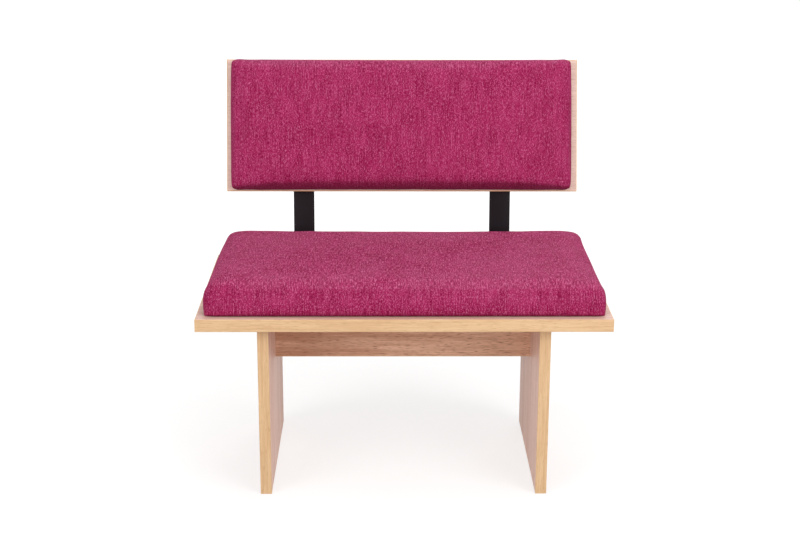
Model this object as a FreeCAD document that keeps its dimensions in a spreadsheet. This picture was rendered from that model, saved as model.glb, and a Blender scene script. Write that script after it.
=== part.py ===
"""Bench with an upholstered seat and a leaning upholstered backrest, in millimetres.

Two panel legs and a stretcher carry a wide seat panel. Two bent flat-steel bars run under the seat,
rise behind its rear edge and lean back to carry the backrest panel. One pad is screwed to the seat and
another to the backrest; each is a board, a foam block and a cover whose hem is turned under.

Frame: X to the right as seen from the front, Y to the rear, Z up. The origin is on the floor, in the
middle of the bench's width and of its overall depth.
"""
import FreeCAD, Part
import math
import os
import re

import Sketcher

DIMENSIONS = {
    # Seat panel
    "seat_width": 900,
    "seat_depth": 500,
    "seat_thickness": 28,
    # Legs: panels set in from the ends, the front and the rear of the seat
    "leg_height": 395,
    "leg_thickness": 25,
    "leg_overhang": 130,
    "leg_setback": 35,
    # Stretcher between the legs, up against the seat
    "stretcher_height": 142,
    "stretcher_thickness": 25,
    # Backrest panel; the drop is how far it hangs below the bend of the bars
    "backrest_width": 847,
    "backrest_height": 318,
    "backrest_thickness": 25,
    "backrest_lean": 15.5,
    "backrest_drop": 14,
    # Edge bands on the sawn edges of the panels
    "band_thickness": 2,
    "band_radius": 1.5,
    # Bent flat bars: foot under the seat, riser behind it, head behind the backrest
    "bar_width": 50,
    "bar_thickness": 8,
    "bar_to_leg": 31,
    "bar_gap": 0.7,
    "bar_corner_radius": 6,
    "bar_top_inset": 24,
    "bend_radius": 8,
    "foot_length": 200,
    "riser_length": 196,
    "riser_lean": 5.5,
    # Seat pad, outside of the cover
    "seat_pad_inset": 21,
    "seat_pad_height": 73,
    "seat_pad_widest_height": 37,
    "seat_pad_shoulder_width": 26,
    "seat_pad_crown_height": 4,
    "seat_pad_crown_width": 110,
    "seat_pad_crown_inset": 12,
    "seat_pad_corner_radius": 22,
    "seat_pad_board_thickness": 12,
    # Backrest pad, outside of the cover
    "back_pad_side_inset": 18,
    "back_pad_top_inset": 5,
    "back_pad_bottom_inset": 9,
    "back_pad_height": 40,
    "back_pad_widest_height": 20,
    "back_pad_shoulder_width": 18,
    "back_pad_crown_height": 3,
    "back_pad_crown_width": 70,
    "back_pad_crown_inset": 9,
    "back_pad_corner_radius": 16,
    "back_pad_board_thickness": 10,
    # Both pads; the corners' radius grows by this share of how far a section is drawn in
    "pad_bulge_width": 5,
    "corner_spread": 0.35,
    "cover_thickness": 1.5,
    "hem_width": 35,
    "soft_gap": 0.3,
    # Panel screws down through the seat into the legs and the stretcher
    "screw_diameter": 7,
    "screw_length": 70,
    "screw_head_diameter": 10,
    "screw_head_height": 4,
    "screw_tip_diameter": 3,
    "screw_tip_length": 5,
    "leg_screw_inset": 85,
    "stretcher_screw_inset": 145,
    # Dowels
    "dowel_diameter": 8,
    "dowel_end_diameter": 6.4,
    "dowel_end_length": 0.8,
    "leg_dowel_length": 40,
    "leg_dowel_seat_depth": 14,
    "leg_dowel_inset": 35,
    "stretcher_dowel_length": 35,
    "stretcher_dowel_leg_depth": 12,
    "stretcher_dowel_inset": 20,
    # Cams in the rear face of the stretcher and their bolts in the legs
    "cam_diameter": 15,
    "cam_height": 16,
    "cam_setback": 34,
    "cam_slot_length": 9,
    "cam_slot_width": 1.6,
    "cam_slot_depth": 2,
    "cam_bolt_thread_diameter": 6,
    "cam_bolt_thread_length": 11,
    "cam_bolt_shank_diameter": 5,
    "cam_bolt_head_diameter": 7,
    "cam_bolt_head_length": 6,
    "cam_bolt_end_length": 2,
    # Bolts and tee nuts that hold the bars to the seat and the backrest
    "bolt_diameter": 8,
    "bolt_head_diameter": 14,
    "bolt_head_height": 4.4,
    "bolt_rim_height": 1.2,
    "bolt_crown_diameter": 8,
    "bolt_end_gap": 6,
    "socket_width": 5,
    "socket_depth": 2.8,
    "foot_bolt_front_inset": 25,
    "foot_bolt_rear_inset": 55,
    "head_bolt_inset": 40,
    "tee_nut_flange_diameter": 20,
    "tee_nut_flange_thickness": 1.5,
    "tee_nut_barrel_diameter": 10,
    "tee_nut_length": 12,
    # Screws that hold the pads
    "pad_screw_diameter": 4.5,
    "pad_screw_head_diameter": 9,
    "pad_screw_head_height": 2.6,
    "pad_screw_crown_diameter": 5,
    "pad_screw_tip_diameter": 2,
    "pad_screw_tip_length": 4,
    "pad_screw_end_gap": 1.5,
    "pad_screw_side_inset": 50,
    "pad_screw_edge_inset": 55,
    # Play: on a hole's diameter and past the end of what is in it
    "hole_clearance": 0.2,
    "end_clearance": 0.5,
}

# Sizes and places that follow from the ones above.
DERIVED = {
    "seat_top": "leg_height + seat_thickness",
    "leg_depth": "seat_depth - 2 * leg_setback",
    "head_length": "backrest_height - backrest_drop - bar_top_inset",
    "foot_tangent": "bend_radius * tan((90 - riser_lean) / 2)",
    "outer_bend_radius": "bend_radius + bar_thickness",
    "head_tangent": "outer_bend_radius * tan((backrest_lean - riser_lean) / 2)",
    "corner_reach": "seat_depth + bar_gap + foot_tangent",
    "bend_reach": "corner_reach + riser_length * sin(riser_lean)",
    "overall_depth": "bend_reach + head_length * sin(backrest_lean) + bar_thickness * cos(backrest_lean)",
    "seat_front": "-overall_depth / 2",
    "seat_middle": "seat_front + seat_depth / 2",
    "corner_y": "seat_front + corner_reach",
    "bend_y": "seat_front + bend_reach",
    "bend_z": "leg_height + riser_length * cos(riser_lean)",
    "back_y": "bend_y - backrest_drop * sin(backrest_lean)",
    "back_z": "bend_z - backrest_drop * cos(backrest_lean)",
    "leg_x": "seat_width / 2 - leg_overhang - leg_thickness / 2",
    "leg_front": "seat_front + leg_setback",
    "stretcher_half": "leg_x - leg_thickness / 2",
    "stretcher_bottom": "leg_height - stretcher_height",
    "stretcher_middle": "leg_height - stretcher_height / 2",
    "stretcher_rear": "seat_middle + stretcher_thickness / 2",
    "bar_x": "stretcher_half - bar_to_leg - bar_width / 2",
    "seat_pad_half_x": "seat_width / 2 - seat_pad_inset",
    "seat_pad_half_y": "seat_depth / 2 - seat_pad_inset",
    "back_pad_half_x": "backrest_width / 2 - back_pad_side_inset",
    "back_pad_half_y": "(backrest_height - back_pad_top_inset - back_pad_bottom_inset) / 2",
    "back_pad_middle": "back_pad_bottom_inset + back_pad_half_y",
    "screw_leg_depth": "screw_length - seat_thickness",
    "leg_dowel_leg_depth": "leg_dowel_length - leg_dowel_seat_depth",
    "stretcher_dowel_depth": "stretcher_dowel_length - stretcher_dowel_leg_depth",
    "cam_bolt_reach": "cam_setback + cam_bolt_end_length",
}

SIDES = {"left": -1, "right": 1}
BOTH_WAYS = (-1, 1)

# Small round pieces and the holes for them have this many flat sides, which keeps their faces few.
ROUND_SIDES = 12
HEXAGON_SIDES = 6

# How a piece that is drawn upright is turned: an axis and an angle.
X_AXIS = (1, 0, 0)
Y_AXIS = (0, 1, 0)
UPRIGHT = (X_AXIS, "0")
HEAD_DOWN = (X_AXIS, "180")
TO_FRONT = (X_AXIS, "90")
TO_REAR = (X_AXIS, "-90")
OUT_OF_BACKREST = (X_AXIS, "90 - backrest_lean")
BEHIND_BACKREST = (X_AXIS, "-90 - backrest_lean")

# Height and angle steps of a pad's side, from its drawn-in base over its shoulder.
BASE_STEPS = (0, 0.35, 0.7)
SHOULDER_STEPS = (0, 22.5, 45, 67.5, 90)

TOLERANCE = 1e-4

doc = FreeCAD.newDocument("Bench")
sheet = doc.addObject("Spreadsheet::Sheet", "Dims")
nodes = []


def fill_sheet():
    """Write every driving size into the sheet, under its own name."""
    for row, (name, size) in enumerate(DIMENSIONS.items(), start=1):
        sheet.set(f"A{row}", name)
        sheet.set(f"B{row}", str(size))
        sheet.setAlias(f"B{row}", name)
    doc.recompute()


def cell(formula):
    """Return a formula with its named sizes turned into cells of the sheet."""

    def swap(match):
        name = match.group()
        if name in DERIVED:
            return f"({cell(DERIVED[name])})"
        return f"Dims.{name}" if name in DIMENSIONS else name

    return re.sub(r"[a-z_]+", swap, str(formula))


def value(formula):
    """Return the present value of a formula."""
    return float(sheet.evalExpression(cell(formula)))


def bind(thing, name, formula):
    """Tie a property to a formula of named sizes."""
    thing.setExpression(name, cell(formula))


def place(thing, at, turn=UPRIGHT):
    """Put an object at a point, turned about one axis."""
    axis, angle = turn
    if turn is not UPRIGHT:
        # A first angle sets the axis, then the formula drives the angle.
        start = FreeCAD.Rotation(FreeCAD.Vector(*axis), value(angle))
        thing.Placement = FreeCAD.Placement(FreeCAD.Vector(), start)
        bind(thing, "Placement.Rotation.Angle", angle)
    for letter, formula in zip("xyz", at):
        bind(thing, f"Placement.Base.{letter}", formula)
    return thing


def sideways(side):
    """Turn an upright piece so that it points out to one side."""
    return (Y_AXIS, f"{side} * 90")


def on_backrest(across, up, out):
    """Return a point of the leaning frame whose origin is the backrest's lower rear edge."""
    return (
        across,
        f"back_y + ({up}) * sin(backrest_lean) - ({out}) * cos(backrest_lean)",
        f"back_z + ({up}) * cos(backrest_lean) + ({out}) * sin(backrest_lean)",
    )


def node(thing, label):
    """Mark a finished piece as one of the bench's nodes."""
    thing.Label = label
    nodes.append(thing)
    return thing


def new_body(name, at, turn=UPRIGHT):
    """Return an empty body at a point."""
    return place(doc.addObject("PartDesign::Body", name), at, turn)


def attach(thing, body, plane, lift):
    """Set a sketch or a wedge on one of a body's own planes, lifted off it by a formula."""
    support = next(part for part in body.Origin.OriginFeatures if part.Role == plane)
    thing.AttachmentSupport = [(support, "")]
    thing.MapMode = "FlatFace"
    bind(thing, "AttachmentOffset.Base.z", lift)
    return thing


def new_sketch(body, plane, lift="0"):
    """Return a sketch on one of a body's own planes, lifted off it by a formula."""
    sketch = body.newObject("Sketcher::SketchObject", f"{body.Name}_sketch")
    return attach(sketch, body, plane, lift)


def dimension(sketch, formula, kind, *where):
    """Add a dimension to a sketch and tie it to a formula."""
    index = sketch.addConstraint(Sketcher.Constraint(kind, *where, value(formula)))
    bind(sketch, f"Constraints[{index}]", formula)


def pin(sketch, line, x=None, y=None):
    """Dimension a line's start from the sketch's origin."""
    if x is not None:
        dimension(sketch, x, "DistanceX", -1, 1, line, 1)
    if y is not None:
        dimension(sketch, y, "DistanceY", -1, 1, line, 1)


def draw_rectangle(sketch, low_x, low_y, high_x, high_y):
    """Draw a rectangle between two corners given as formulas."""
    corners = [(low_x, low_y), (high_x, low_y), (high_x, high_y), (low_x, high_y)]
    points = [FreeCAD.Vector(value(x), value(y), 0) for x, y in corners]
    for index, point in enumerate(points):
        sketch.addGeometry(Part.LineSegment(point, points[(index + 1) % 4]), False)
    for index, (x, y) in enumerate(corners):
        sketch.addConstraint(Sketcher.Constraint("Coincident", index, 2, (index + 1) % 4, 1))
        pin(sketch, index, x, y)


def draw_rounded(sketch, half_x, half_y, radius):
    """Draw a rectangle with round corners about the sketch's origin."""
    wide, deep, round_ = value(half_x), value(half_y), value(radius)
    up = FreeCAD.Vector(0, 0, 1)
    corner_x, corner_y = wide - round_, deep - round_
    # Bottom, right, top and left lines, each followed by the arc that leads to the next one.
    lines = [
        ((-corner_x, -deep), (corner_x, -deep), (corner_x, -corner_y)),
        ((wide, -corner_y), (wide, corner_y), (corner_x, corner_y)),
        ((corner_x, deep), (-corner_x, deep), (-corner_x, corner_y)),
        ((-wide, corner_y), (-wide, -corner_y), (-corner_x, -corner_y)),
    ]
    for quarter, (start, end, centre) in enumerate(lines):
        first = (quarter - 1) * math.pi / 2
        circle = Part.Circle(FreeCAD.Vector(*centre, 0), up, round_)
        sketch.addGeometry(Part.LineSegment(FreeCAD.Vector(*start, 0), FreeCAD.Vector(*end, 0)), False)
        sketch.addGeometry(Part.ArcOfCircle(circle, first, first + math.pi / 2), False)
    for index in range(8):
        sketch.addConstraint(Sketcher.Constraint("Tangent", index, 2, (index + 1) % 8, 1))
    for index, kind in ((0, "Horizontal"), (2, "Vertical"), (4, "Horizontal"), (6, "Vertical")):
        sketch.addConstraint(Sketcher.Constraint(kind, index))
    for index in (3, 5, 7):
        sketch.addConstraint(Sketcher.Constraint("Equal", 1, index))
    dimension(sketch, radius, "Radius", 1)
    pin(sketch, 0, y=f"-({half_y})")
    pin(sketch, 2, x=half_x)
    pin(sketch, 4, y=half_y)
    pin(sketch, 6, x=f"-({half_x})")


def pad_out(body, sketch, length):
    """Extrude a sketch."""
    feature = body.newObject("PartDesign::Pad", f"{body.Name}_pad")
    feature.Profile = sketch
    bind(feature, "Length", length)
    return feature


def pocket_up(body, sketch, depth):
    """Cut a sketch into a body, up from its plane."""
    doc.recompute()
    before = body.Shape.Volume
    feature = body.newObject("PartDesign::Pocket", f"{body.Name}_pocket")
    feature.Profile = sketch
    feature.Reversed = True
    bind(feature, "Length", depth)
    doc.recompute()
    if body.Shape.Volume > before - TOLERANCE:
        raise RuntimeError(f"a pocket of {body.Name} cuts nothing")


def round_edges(body, base, radius, wanted):
    """Round those edges of a body that a test picks."""
    base.recompute(True)
    names = [f"Edge{index}" for index, edge in enumerate(base.Shape.Edges, start=1) if wanted(edge)]
    fillet = body.newObject("PartDesign::Fillet", f"{body.Name}_fillet")
    fillet.Base = (base, names)
    bind(fillet, "Radius", radius)


def rod(diameter, length, at, turn=UPRIGHT, sides=ROUND_SIDES):
    """Return a straight round that starts at a point and runs along its turned upright axis."""
    prism = doc.addObject("Part::Prism", "rod")
    prism.Polygon = sides
    bind(prism, "Circumradius", f"({diameter}) / 2")
    bind(prism, "Height", length)
    return place(prism, at, turn)


def drill(diameter, depth, at, turn=UPRIGHT):
    """Return a drill for a hole that takes a round of some diameter with a little play."""
    return rod(f"{diameter} + hole_clearance", depth, at, turn)


def cut_out(name, blank, tools):
    """Return a blank with tools cut out of it."""
    cutters = doc.addObject("Part::MultiFuse", f"{name}_cutters")
    cutters.Shapes = tools
    cut = doc.addObject("Part::Cut", name)
    cut.Base = blank
    cut.Tool = cutters
    return cut


def drilled(label, blank, drills):
    """Make a node of a blank with its holes cut."""
    return node(cut_out(label, blank, drills), label)


def ring(diameter, height):
    """Return the level outline of a small round piece."""
    outline = doc.addObject("Part::RegularPolygon", "ring")
    outline.Polygon = ROUND_SIDES
    bind(outline, "Circumradius", f"({diameter}) / 2")
    return place(outline, ("0", "0", height))


def turned(name, profile):
    """Return a small round piece from a profile of (diameter, height), from its lowest point up.

    Two points at one height make a flat step.
    """
    stretches = []
    for low, high in zip(profile, profile[1:]):
        if low[1] == high[1]:
            continue
        stretch = doc.addObject("Part::Loft", f"{name}_stretch")
        stretch.Sections = [ring(*low), ring(*high)]
        stretch.Solid = True
        stretch.Ruled = True
        stretches.append(stretch)
    whole = doc.addObject("Part::MultiFuse", name)
    whole.Shapes = stretches
    return whole


def group(label, piece, places):
    """Make one node of copies of a piece, each at a point and turned."""
    copies = []
    for number, (at, turn) in enumerate(places, start=1):
        copy = doc.addObject("App::Link", f"{label}_{number}")
        copy.LinkedObject = piece
        copies.append(place(copy, at, turn))
    whole = doc.addObject("Part::Compound", label)
    whole.Links = copies
    return node(whole, label)


def block(name, size, at, turn=UPRIGHT):
    """Return a plain box."""
    box = doc.addObject("Part::Box", name)
    for side, formula in zip(("Length", "Width", "Height"), size):
        bind(box, side, formula)
    return place(box, at, turn)


def band(label, size, at, outside, turn=UPRIGHT):
    """Make an edge band: a thin strip whose two long outer edges are rounded.

    The outer face is named by the axis it faces, 0 to 2, and whether it is the high one.
    """
    body = new_body(label, at, turn)
    sketch = new_sketch(body, "XY_Plane")
    draw_rectangle(sketch, "0", "0", size[0], size[1])
    strip = pad_out(body, sketch, size[2])
    axis, high = outside
    level = value(size[axis]) if high else 0
    longest = max(value(length) for length in size)

    def on_outer_face(edge):
        return abs(edge.CenterOfMass[axis] - level) < TOLERANCE and abs(edge.Length - longest) < TOLERANCE

    round_edges(body, strip, "band_radius", on_outer_face)
    node(body, label)


def foot_bolt_places():
    """Return where the bars' bolts come up through the seat."""
    front = "corner_y - foot_length + foot_bolt_front_inset"
    rear = "corner_y - foot_bolt_rear_inset"
    return [(f"{side} * bar_x", y) for side in SIDES.values() for y in (front, rear)]


def head_bolt_places():
    """Return where the bars' bolts come through the backrest, across and up."""
    low = "backrest_drop + head_bolt_inset"
    high = "backrest_drop + head_length - head_bolt_inset"
    return [(f"{side} * bar_x", up) for side in SIDES.values() for up in (low, high)]


def leg_screw_places(side):
    """Return where the panel screws go down into one leg."""
    reach = "(leg_depth / 2 - leg_screw_inset)"
    return [(f"{side} * leg_x", f"seat_middle + {way} * {reach}") for way in BOTH_WAYS]


def stretcher_screw_places():
    """Return where the panel screws go down into the stretcher."""
    return [(f"{way} * (stretcher_half - stretcher_screw_inset)", "seat_middle") for way in BOTH_WAYS]


def panel_screw_places():
    """Return where all the panel screws go down through the seat."""
    legs = [at for side in SIDES.values() for at in leg_screw_places(side)]
    return legs + stretcher_screw_places()


def leg_dowel_places(side):
    """Return where one leg's dowels stand."""
    reach = "(leg_depth / 2 - leg_dowel_inset)"
    return [(f"{side} * leg_x", f"seat_middle + {way} * {reach}") for way in BOTH_WAYS]


def stretcher_dowel_heights():
    """Return the heights of the dowels in the stretcher's ends."""
    reach = "(stretcher_height / 2 - stretcher_dowel_inset)"
    return [f"stretcher_middle + {way} * {reach}" for way in BOTH_WAYS]


def pad_screw_places(pad, middle):
    """Return where a pad is screwed on, near its corners, about its middle line."""
    across = f"({pad}_half_x - pad_screw_side_inset)"
    along = f"({pad}_half_y - pad_screw_edge_inset)"
    return [
        (f"{side} * {across}", f"{middle} + {way} * {along}")
        for side in SIDES.values()
        for way in BOTH_WAYS
    ]


def tee_nut_drills(panel_thickness, at, turn=UPRIGHT):
    """Return the drills for one tee nut: through the panel for its barrel, and a recess for its flange.

    The place is a function of the height over the panel's far face.
    """
    flange = "tee_nut_flange_thickness"
    return [
        drill("tee_nut_barrel_diameter", panel_thickness, at("0"), turn),
        drill("tee_nut_flange_diameter", flange, at(f"{panel_thickness} - {flange}"), turn),
    ]


def make_seat():
    """Make the seat panel, drilled for all that is fixed to it, and its four edge bands."""
    core = block(
        "seat_core",
        ("seat_width - 2 * band_thickness", "seat_depth - 2 * band_thickness", "seat_thickness"),
        ("-seat_width / 2 + band_thickness", "seat_front + band_thickness", "leg_height"),
    )
    drills = []
    for x, y in panel_screw_places():
        drills.append(drill("screw_diameter", "seat_thickness", (x, y, "leg_height")))
        head = (x, y, "seat_top - screw_head_height")
        drills.append(drill("screw_head_diameter", "screw_head_height", head))
    for side in SIDES.values():
        for x, y in leg_dowel_places(side):
            depth = "leg_dowel_seat_depth + end_clearance"
            drills.append(drill("dowel_diameter", depth, (x, y, "leg_height")))
    for x, y in foot_bolt_places():
        drills += tee_nut_drills("seat_thickness", lambda up, x=x, y=y: (x, y, f"leg_height + {up}"))
    for x, y in pad_screw_places("seat_pad", "seat_middle"):
        drills.append(drill("pad_screw_diameter", "seat_thickness", (x, y, "leg_height")))
    drilled("seat_board", core, drills)

    long_band = ("seat_width", "band_thickness", "seat_thickness")
    short_band = ("band_thickness", "seat_depth - 2 * band_thickness", "seat_thickness")
    left = "-seat_width / 2"
    band("seat_band_front", long_band, (left, "seat_front", "leg_height"), (1, False))
    rear = "seat_front + seat_depth - band_thickness"
    band("seat_band_rear", long_band, (left, rear, "leg_height"), (1, True))
    inner_front = "seat_front + band_thickness"
    band("seat_band_left", short_band, (left, inner_front, "leg_height"), (0, False))
    right = "seat_width / 2 - band_thickness"
    band("seat_band_right", short_band, (right, inner_front, "leg_height"), (0, True))


def make_leg(name, side):
    """Make one leg panel, drilled in its top edge and its inner face, and its three edge bands."""
    near = f"{side} * leg_x - leg_thickness / 2"
    core = block(
        f"leg_{name}_core",
        ("leg_thickness", "leg_depth - 2 * band_thickness", "leg_height - band_thickness"),
        (near, "leg_front + band_thickness", "band_thickness"),
    )
    drills = []
    for x, y in leg_screw_places(side):
        depth = "screw_leg_depth + end_clearance"
        drills.append(drill("screw_diameter", depth, (x, y, f"leg_height - ({depth})")))
    for x, y in leg_dowel_places(side):
        depth = "leg_dowel_leg_depth + end_clearance"
        drills.append(drill("dowel_diameter", depth, (x, y, f"leg_height - ({depth})")))
    inner, outward = f"{side} * stretcher_half", sideways(side)
    for height in stretcher_dowel_heights():
        depth = "stretcher_dowel_leg_depth + end_clearance"
        drills.append(drill("dowel_diameter", depth, (inner, "seat_middle", height), outward))
    depth = "cam_bolt_thread_length + end_clearance"
    at = (inner, "seat_middle", "stretcher_middle")
    drills.append(drill("cam_bolt_thread_diameter", depth, at, outward))
    drilled(f"leg_{name}", core, drills)

    upright = ("leg_thickness", "band_thickness", "leg_height")
    flat = ("leg_thickness", "leg_depth - 2 * band_thickness", "band_thickness")
    band(f"leg_{name}_band_front", upright, (near, "leg_front", "0"), (1, False))
    rear = "leg_front + leg_depth - band_thickness"
    band(f"leg_{name}_band_rear", upright, (near, rear, "0"), (1, True))
    band(f"leg_{name}_band_bottom", flat, (near, "leg_front + band_thickness", "0"), (2, False))


def make_stretcher():
    """Make the stretcher, drilled for its dowels, bolts, cams and screws, and its lower edge band."""
    span = "2 * stretcher_half"
    front = "seat_middle - stretcher_thickness / 2"
    core = block(
        "stretcher_core",
        (span, "stretcher_thickness", "stretcher_height - band_thickness"),
        ("-stretcher_half", front, "stretcher_bottom + band_thickness"),
    )
    drills = []
    for side in SIDES.values():
        end, inward = f"{side} * stretcher_half", sideways(-side)
        at = (end, "seat_middle", "stretcher_middle")
        drills.append(drill("cam_bolt_head_diameter", "cam_setback", at, inward))
        at = (f"{side} * (stretcher_half - cam_setback)", "stretcher_rear", "stretcher_middle")
        drills.append(drill("cam_diameter", "cam_height + end_clearance", at, TO_FRONT))
        for height in stretcher_dowel_heights():
            depth = "stretcher_dowel_depth + end_clearance"
            drills.append(drill("dowel_diameter", depth, (end, "seat_middle", height), inward))
    for x, y in stretcher_screw_places():
        depth = "screw_leg_depth + end_clearance"
        drills.append(drill("screw_diameter", depth, (x, y, f"leg_height - ({depth})")))
    drilled("stretcher", core, drills)
    strip = (span, "stretcher_thickness", "band_thickness")
    band("stretcher_band_bottom", strip, ("-stretcher_half", front, "stretcher_bottom"), (2, False))


def make_backrest():
    """Make the leaning backrest panel, drilled for the bars and the pad, and its four edge bands."""
    core = block(
        "backrest_core",
        ("backrest_width - 2 * band_thickness", "backrest_height - 2 * band_thickness", "backrest_thickness"),
        on_backrest("-backrest_width / 2 + band_thickness", "band_thickness", "0"),
        OUT_OF_BACKREST,
    )
    drills = []
    for x, up in head_bolt_places():
        drills += tee_nut_drills(
            "backrest_thickness", lambda out, x=x, up=up: on_backrest(x, up, out), OUT_OF_BACKREST
        )
    for x, up in pad_screw_places("back_pad", "back_pad_middle"):
        at = on_backrest(x, up, "0")
        drills.append(drill("pad_screw_diameter", "backrest_thickness", at, OUT_OF_BACKREST))
    drilled("backrest_board", core, drills)

    upright = ("band_thickness", "backrest_height", "backrest_thickness")
    level = ("backrest_width - 2 * band_thickness", "band_thickness", "backrest_thickness")
    left, inner_left = "-backrest_width / 2", "-backrest_width / 2 + band_thickness"
    right, top = "backrest_width / 2 - band_thickness", "backrest_height - band_thickness"
    band("backrest_band_left", upright, on_backrest(left, "0", "0"), (0, False), OUT_OF_BACKREST)
    band("backrest_band_right", upright, on_backrest(right, "0", "0"), (0, True), OUT_OF_BACKREST)
    band("backrest_band_bottom", level, on_backrest(inner_left, "0", "0"), (1, False), OUT_OF_BACKREST)
    band("backrest_band_top", level, on_backrest(inner_left, top, "0"), (1, True), OUT_OF_BACKREST)


def draw_bar_path(sketch):
    """Draw the line of a bar's inner face: foot, bend, riser, bend and head, each tangent to the next.

    The sketch's origin is where the lines of the foot and the riser would cross.
    """
    lean, back = math.radians(value("riser_lean")), math.radians(value("backrest_lean"))
    up = FreeCAD.Vector(0, 0, 1)
    riser_way = FreeCAD.Vector(math.sin(lean), math.cos(lean), 0)
    head_way = FreeCAD.Vector(math.sin(back), math.cos(back), 0)
    rearward = FreeCAD.Vector(math.cos(lean), -math.sin(lean), 0)
    foot_start = FreeCAD.Vector(-value("foot_length"), 0, 0)
    foot_end = FreeCAD.Vector(-value("foot_tangent"), 0, 0)
    bend = riser_way * value("riser_length")
    riser_start = riser_way * value("foot_tangent")
    riser_end = bend - riser_way * value("head_tangent")
    head_start = bend + head_way * value("head_tangent")
    head_end = bend + head_way * value("head_length")
    inner, outer = value("bend_radius"), value("outer_bend_radius")
    foot_bend = Part.Circle(foot_end + FreeCAD.Vector(0, inner, 0), up, inner)
    head_bend = Part.Circle(riser_end + rearward * outer, up, outer)

    sketch.addGeometry(Part.LineSegment(foot_start, foot_end), False)
    sketch.addGeometry(Part.ArcOfCircle(foot_bend, -math.pi / 2, -lean), False)
    sketch.addGeometry(Part.LineSegment(riser_start, riser_end), False)
    sketch.addGeometry(Part.ArcOfCircle(head_bend, math.pi - back, math.pi - lean), False)
    sketch.addGeometry(Part.LineSegment(head_start, head_end), False)
    for first, first_end, second, second_end in ((0, 2, 1, 1), (1, 2, 2, 1), (2, 2, 3, 2), (3, 1, 4, 1)):
        sketch.addConstraint(Sketcher.Constraint("Tangent", first, first_end, second, second_end))
    sketch.addConstraint(Sketcher.Constraint("Horizontal", 0))
    sketch.addConstraint(Sketcher.Constraint("PointOnObject", -1, 1, 2))
    pin(sketch, 0, "-foot_length", "0")
    dimension(sketch, "bend_radius", "Radius", 1)
    dimension(sketch, "outer_bend_radius", "Radius", 3)
    dimension(sketch, "riser_length - foot_tangent - head_tangent", "Distance", 2)
    dimension(sketch, "head_length - head_tangent", "Distance", 4)
    for line, formula, angle in ((2, "90 - riser_lean", lean), (4, "90 - backrest_lean", back)):
        index = sketch.addConstraint(Sketcher.Constraint("Angle", line, math.pi / 2 - angle))
        bind(sketch, f"Constraints[{index}]", formula)


def make_bar(name, side):
    """Make one bent flat bar, with rounded ends and holes for its bolts."""
    own_x = f"{side} * bar_x"
    body = new_body(f"bar_{name}", (own_x, "corner_y", "leg_height"))
    path = new_sketch(body, "YZ_Plane")
    draw_bar_path(path)
    section = new_sketch(body, "XZ_Plane", "foot_length")
    draw_rectangle(section, "-bar_width / 2", "-bar_thickness", "bar_width / 2", "0")
    pipe = body.newObject("PartDesign::AdditivePipe", f"bar_{name}_pipe")
    pipe.Profile = section
    pipe.Spine = path
    doc.recompute()
    end_area = value("bar_width * bar_thickness")
    ends = [face for face in pipe.Shape.Faces if abs(face.Area - end_area) < TOLERANCE]
    thickness = value("bar_thickness")

    def is_end_corner(edge):
        return abs(edge.Length - thickness) < TOLERANCE and any(
            edge.isSame(other) for face in ends for other in face.Edges
        )

    round_edges(body, pipe, "bar_corner_radius", is_end_corner)
    drills = []
    for x, y in foot_bolt_places():
        if x == own_x:
            drills.append(drill("bolt_diameter", "bar_thickness", (x, y, "leg_height - bar_thickness")))
    for x, up in head_bolt_places():
        if x == own_x:
            at = on_backrest(x, up, "-bar_thickness")
            drills.append(drill("bolt_diameter", "bar_thickness", at, OUT_OF_BACKREST))
    drilled(f"back_bar_{name}", body, drills)


def pad_levels(pad, inset):
    """Yield the height and growth of each level section of a pad, inset from its outside.

    The base is drawn in, and the side swells to its widest and rounds over a shoulder.
    """
    widest, shoulder = f"{pad}_widest_height", f"{pad}_shoulder_width"
    rise = f"({pad}_height - {pad}_crown_height - {widest} - {inset})"
    for step in BASE_STEPS:
        yield f"{inset} + ({widest} - {inset}) * {step}", f"pad_bulge_width * sin(90 * {step})"
    for angle in SHOULDER_STEPS:
        yield f"{widest} + {rise} * sin({angle})", f"pad_bulge_width - {shoulder} * (1 - cos({angle}))"


def draw_pad_section(sketch, pad, growth, inset):
    """Draw one level section of a pad."""
    reach = f"({growth}) - {inset}"
    corner = f"{pad}_corner_radius + corner_spread * (pad_bulge_width - ({growth})) - {inset}"
    draw_rounded(sketch, f"{pad}_half_x + {reach}", f"{pad}_half_y + {reach}", corner)


def add_crown(body, kind, pad, inset):
    """Add or cut a pad's crown: a low plateau that slopes up from the shoulder on all four sides."""
    wedge = body.newObject(f"PartDesign::{kind}Wedge", f"{body.Name}_crown")
    # A wedge rises along its own Y, which is turned up here.
    upward = FreeCAD.Rotation(FreeCAD.Vector(*X_AXIS), 90)
    wedge.AttachmentOffset = FreeCAD.Placement(FreeCAD.Vector(), upward)
    attach(wedge, body, "XY_Plane", f"{pad}_height - {pad}_crown_height - {inset}")
    bind(wedge, "Ymin", "0")
    bind(wedge, "Ymax", f"{pad}_crown_height")
    foot = f"(pad_bulge_width - {pad}_shoulder_width - {pad}_crown_inset - {inset})"
    for letter, half in (("X", f"{pad}_half_x"), ("Z", f"{pad}_half_y")):
        for end, sign in (("min", "-"), ("max", "")):
            bind(wedge, f"{letter}{end}", f"{sign}({half} + {foot})")
            bind(wedge, f"{letter}2{end}", f"{sign}({half} + {foot} - {pad}_crown_width)")


def loft_pad(body, kind, pad, inset):
    """Add or cut a pad's form, inset from the outside of its cover."""
    sections = []
    for height, growth in pad_levels(pad, inset):
        sketch = new_sketch(body, "XY_Plane", height)
        draw_pad_section(sketch, pad, growth, inset)
        sections.append(sketch)
    loft = body.newObject(f"PartDesign::{kind}Loft", f"{body.Name}_loft")
    loft.Profile = sections[0]
    loft.Sections = sections[1:]
    loft.Ruled = True
    add_crown(body, kind, pad, inset)


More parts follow.
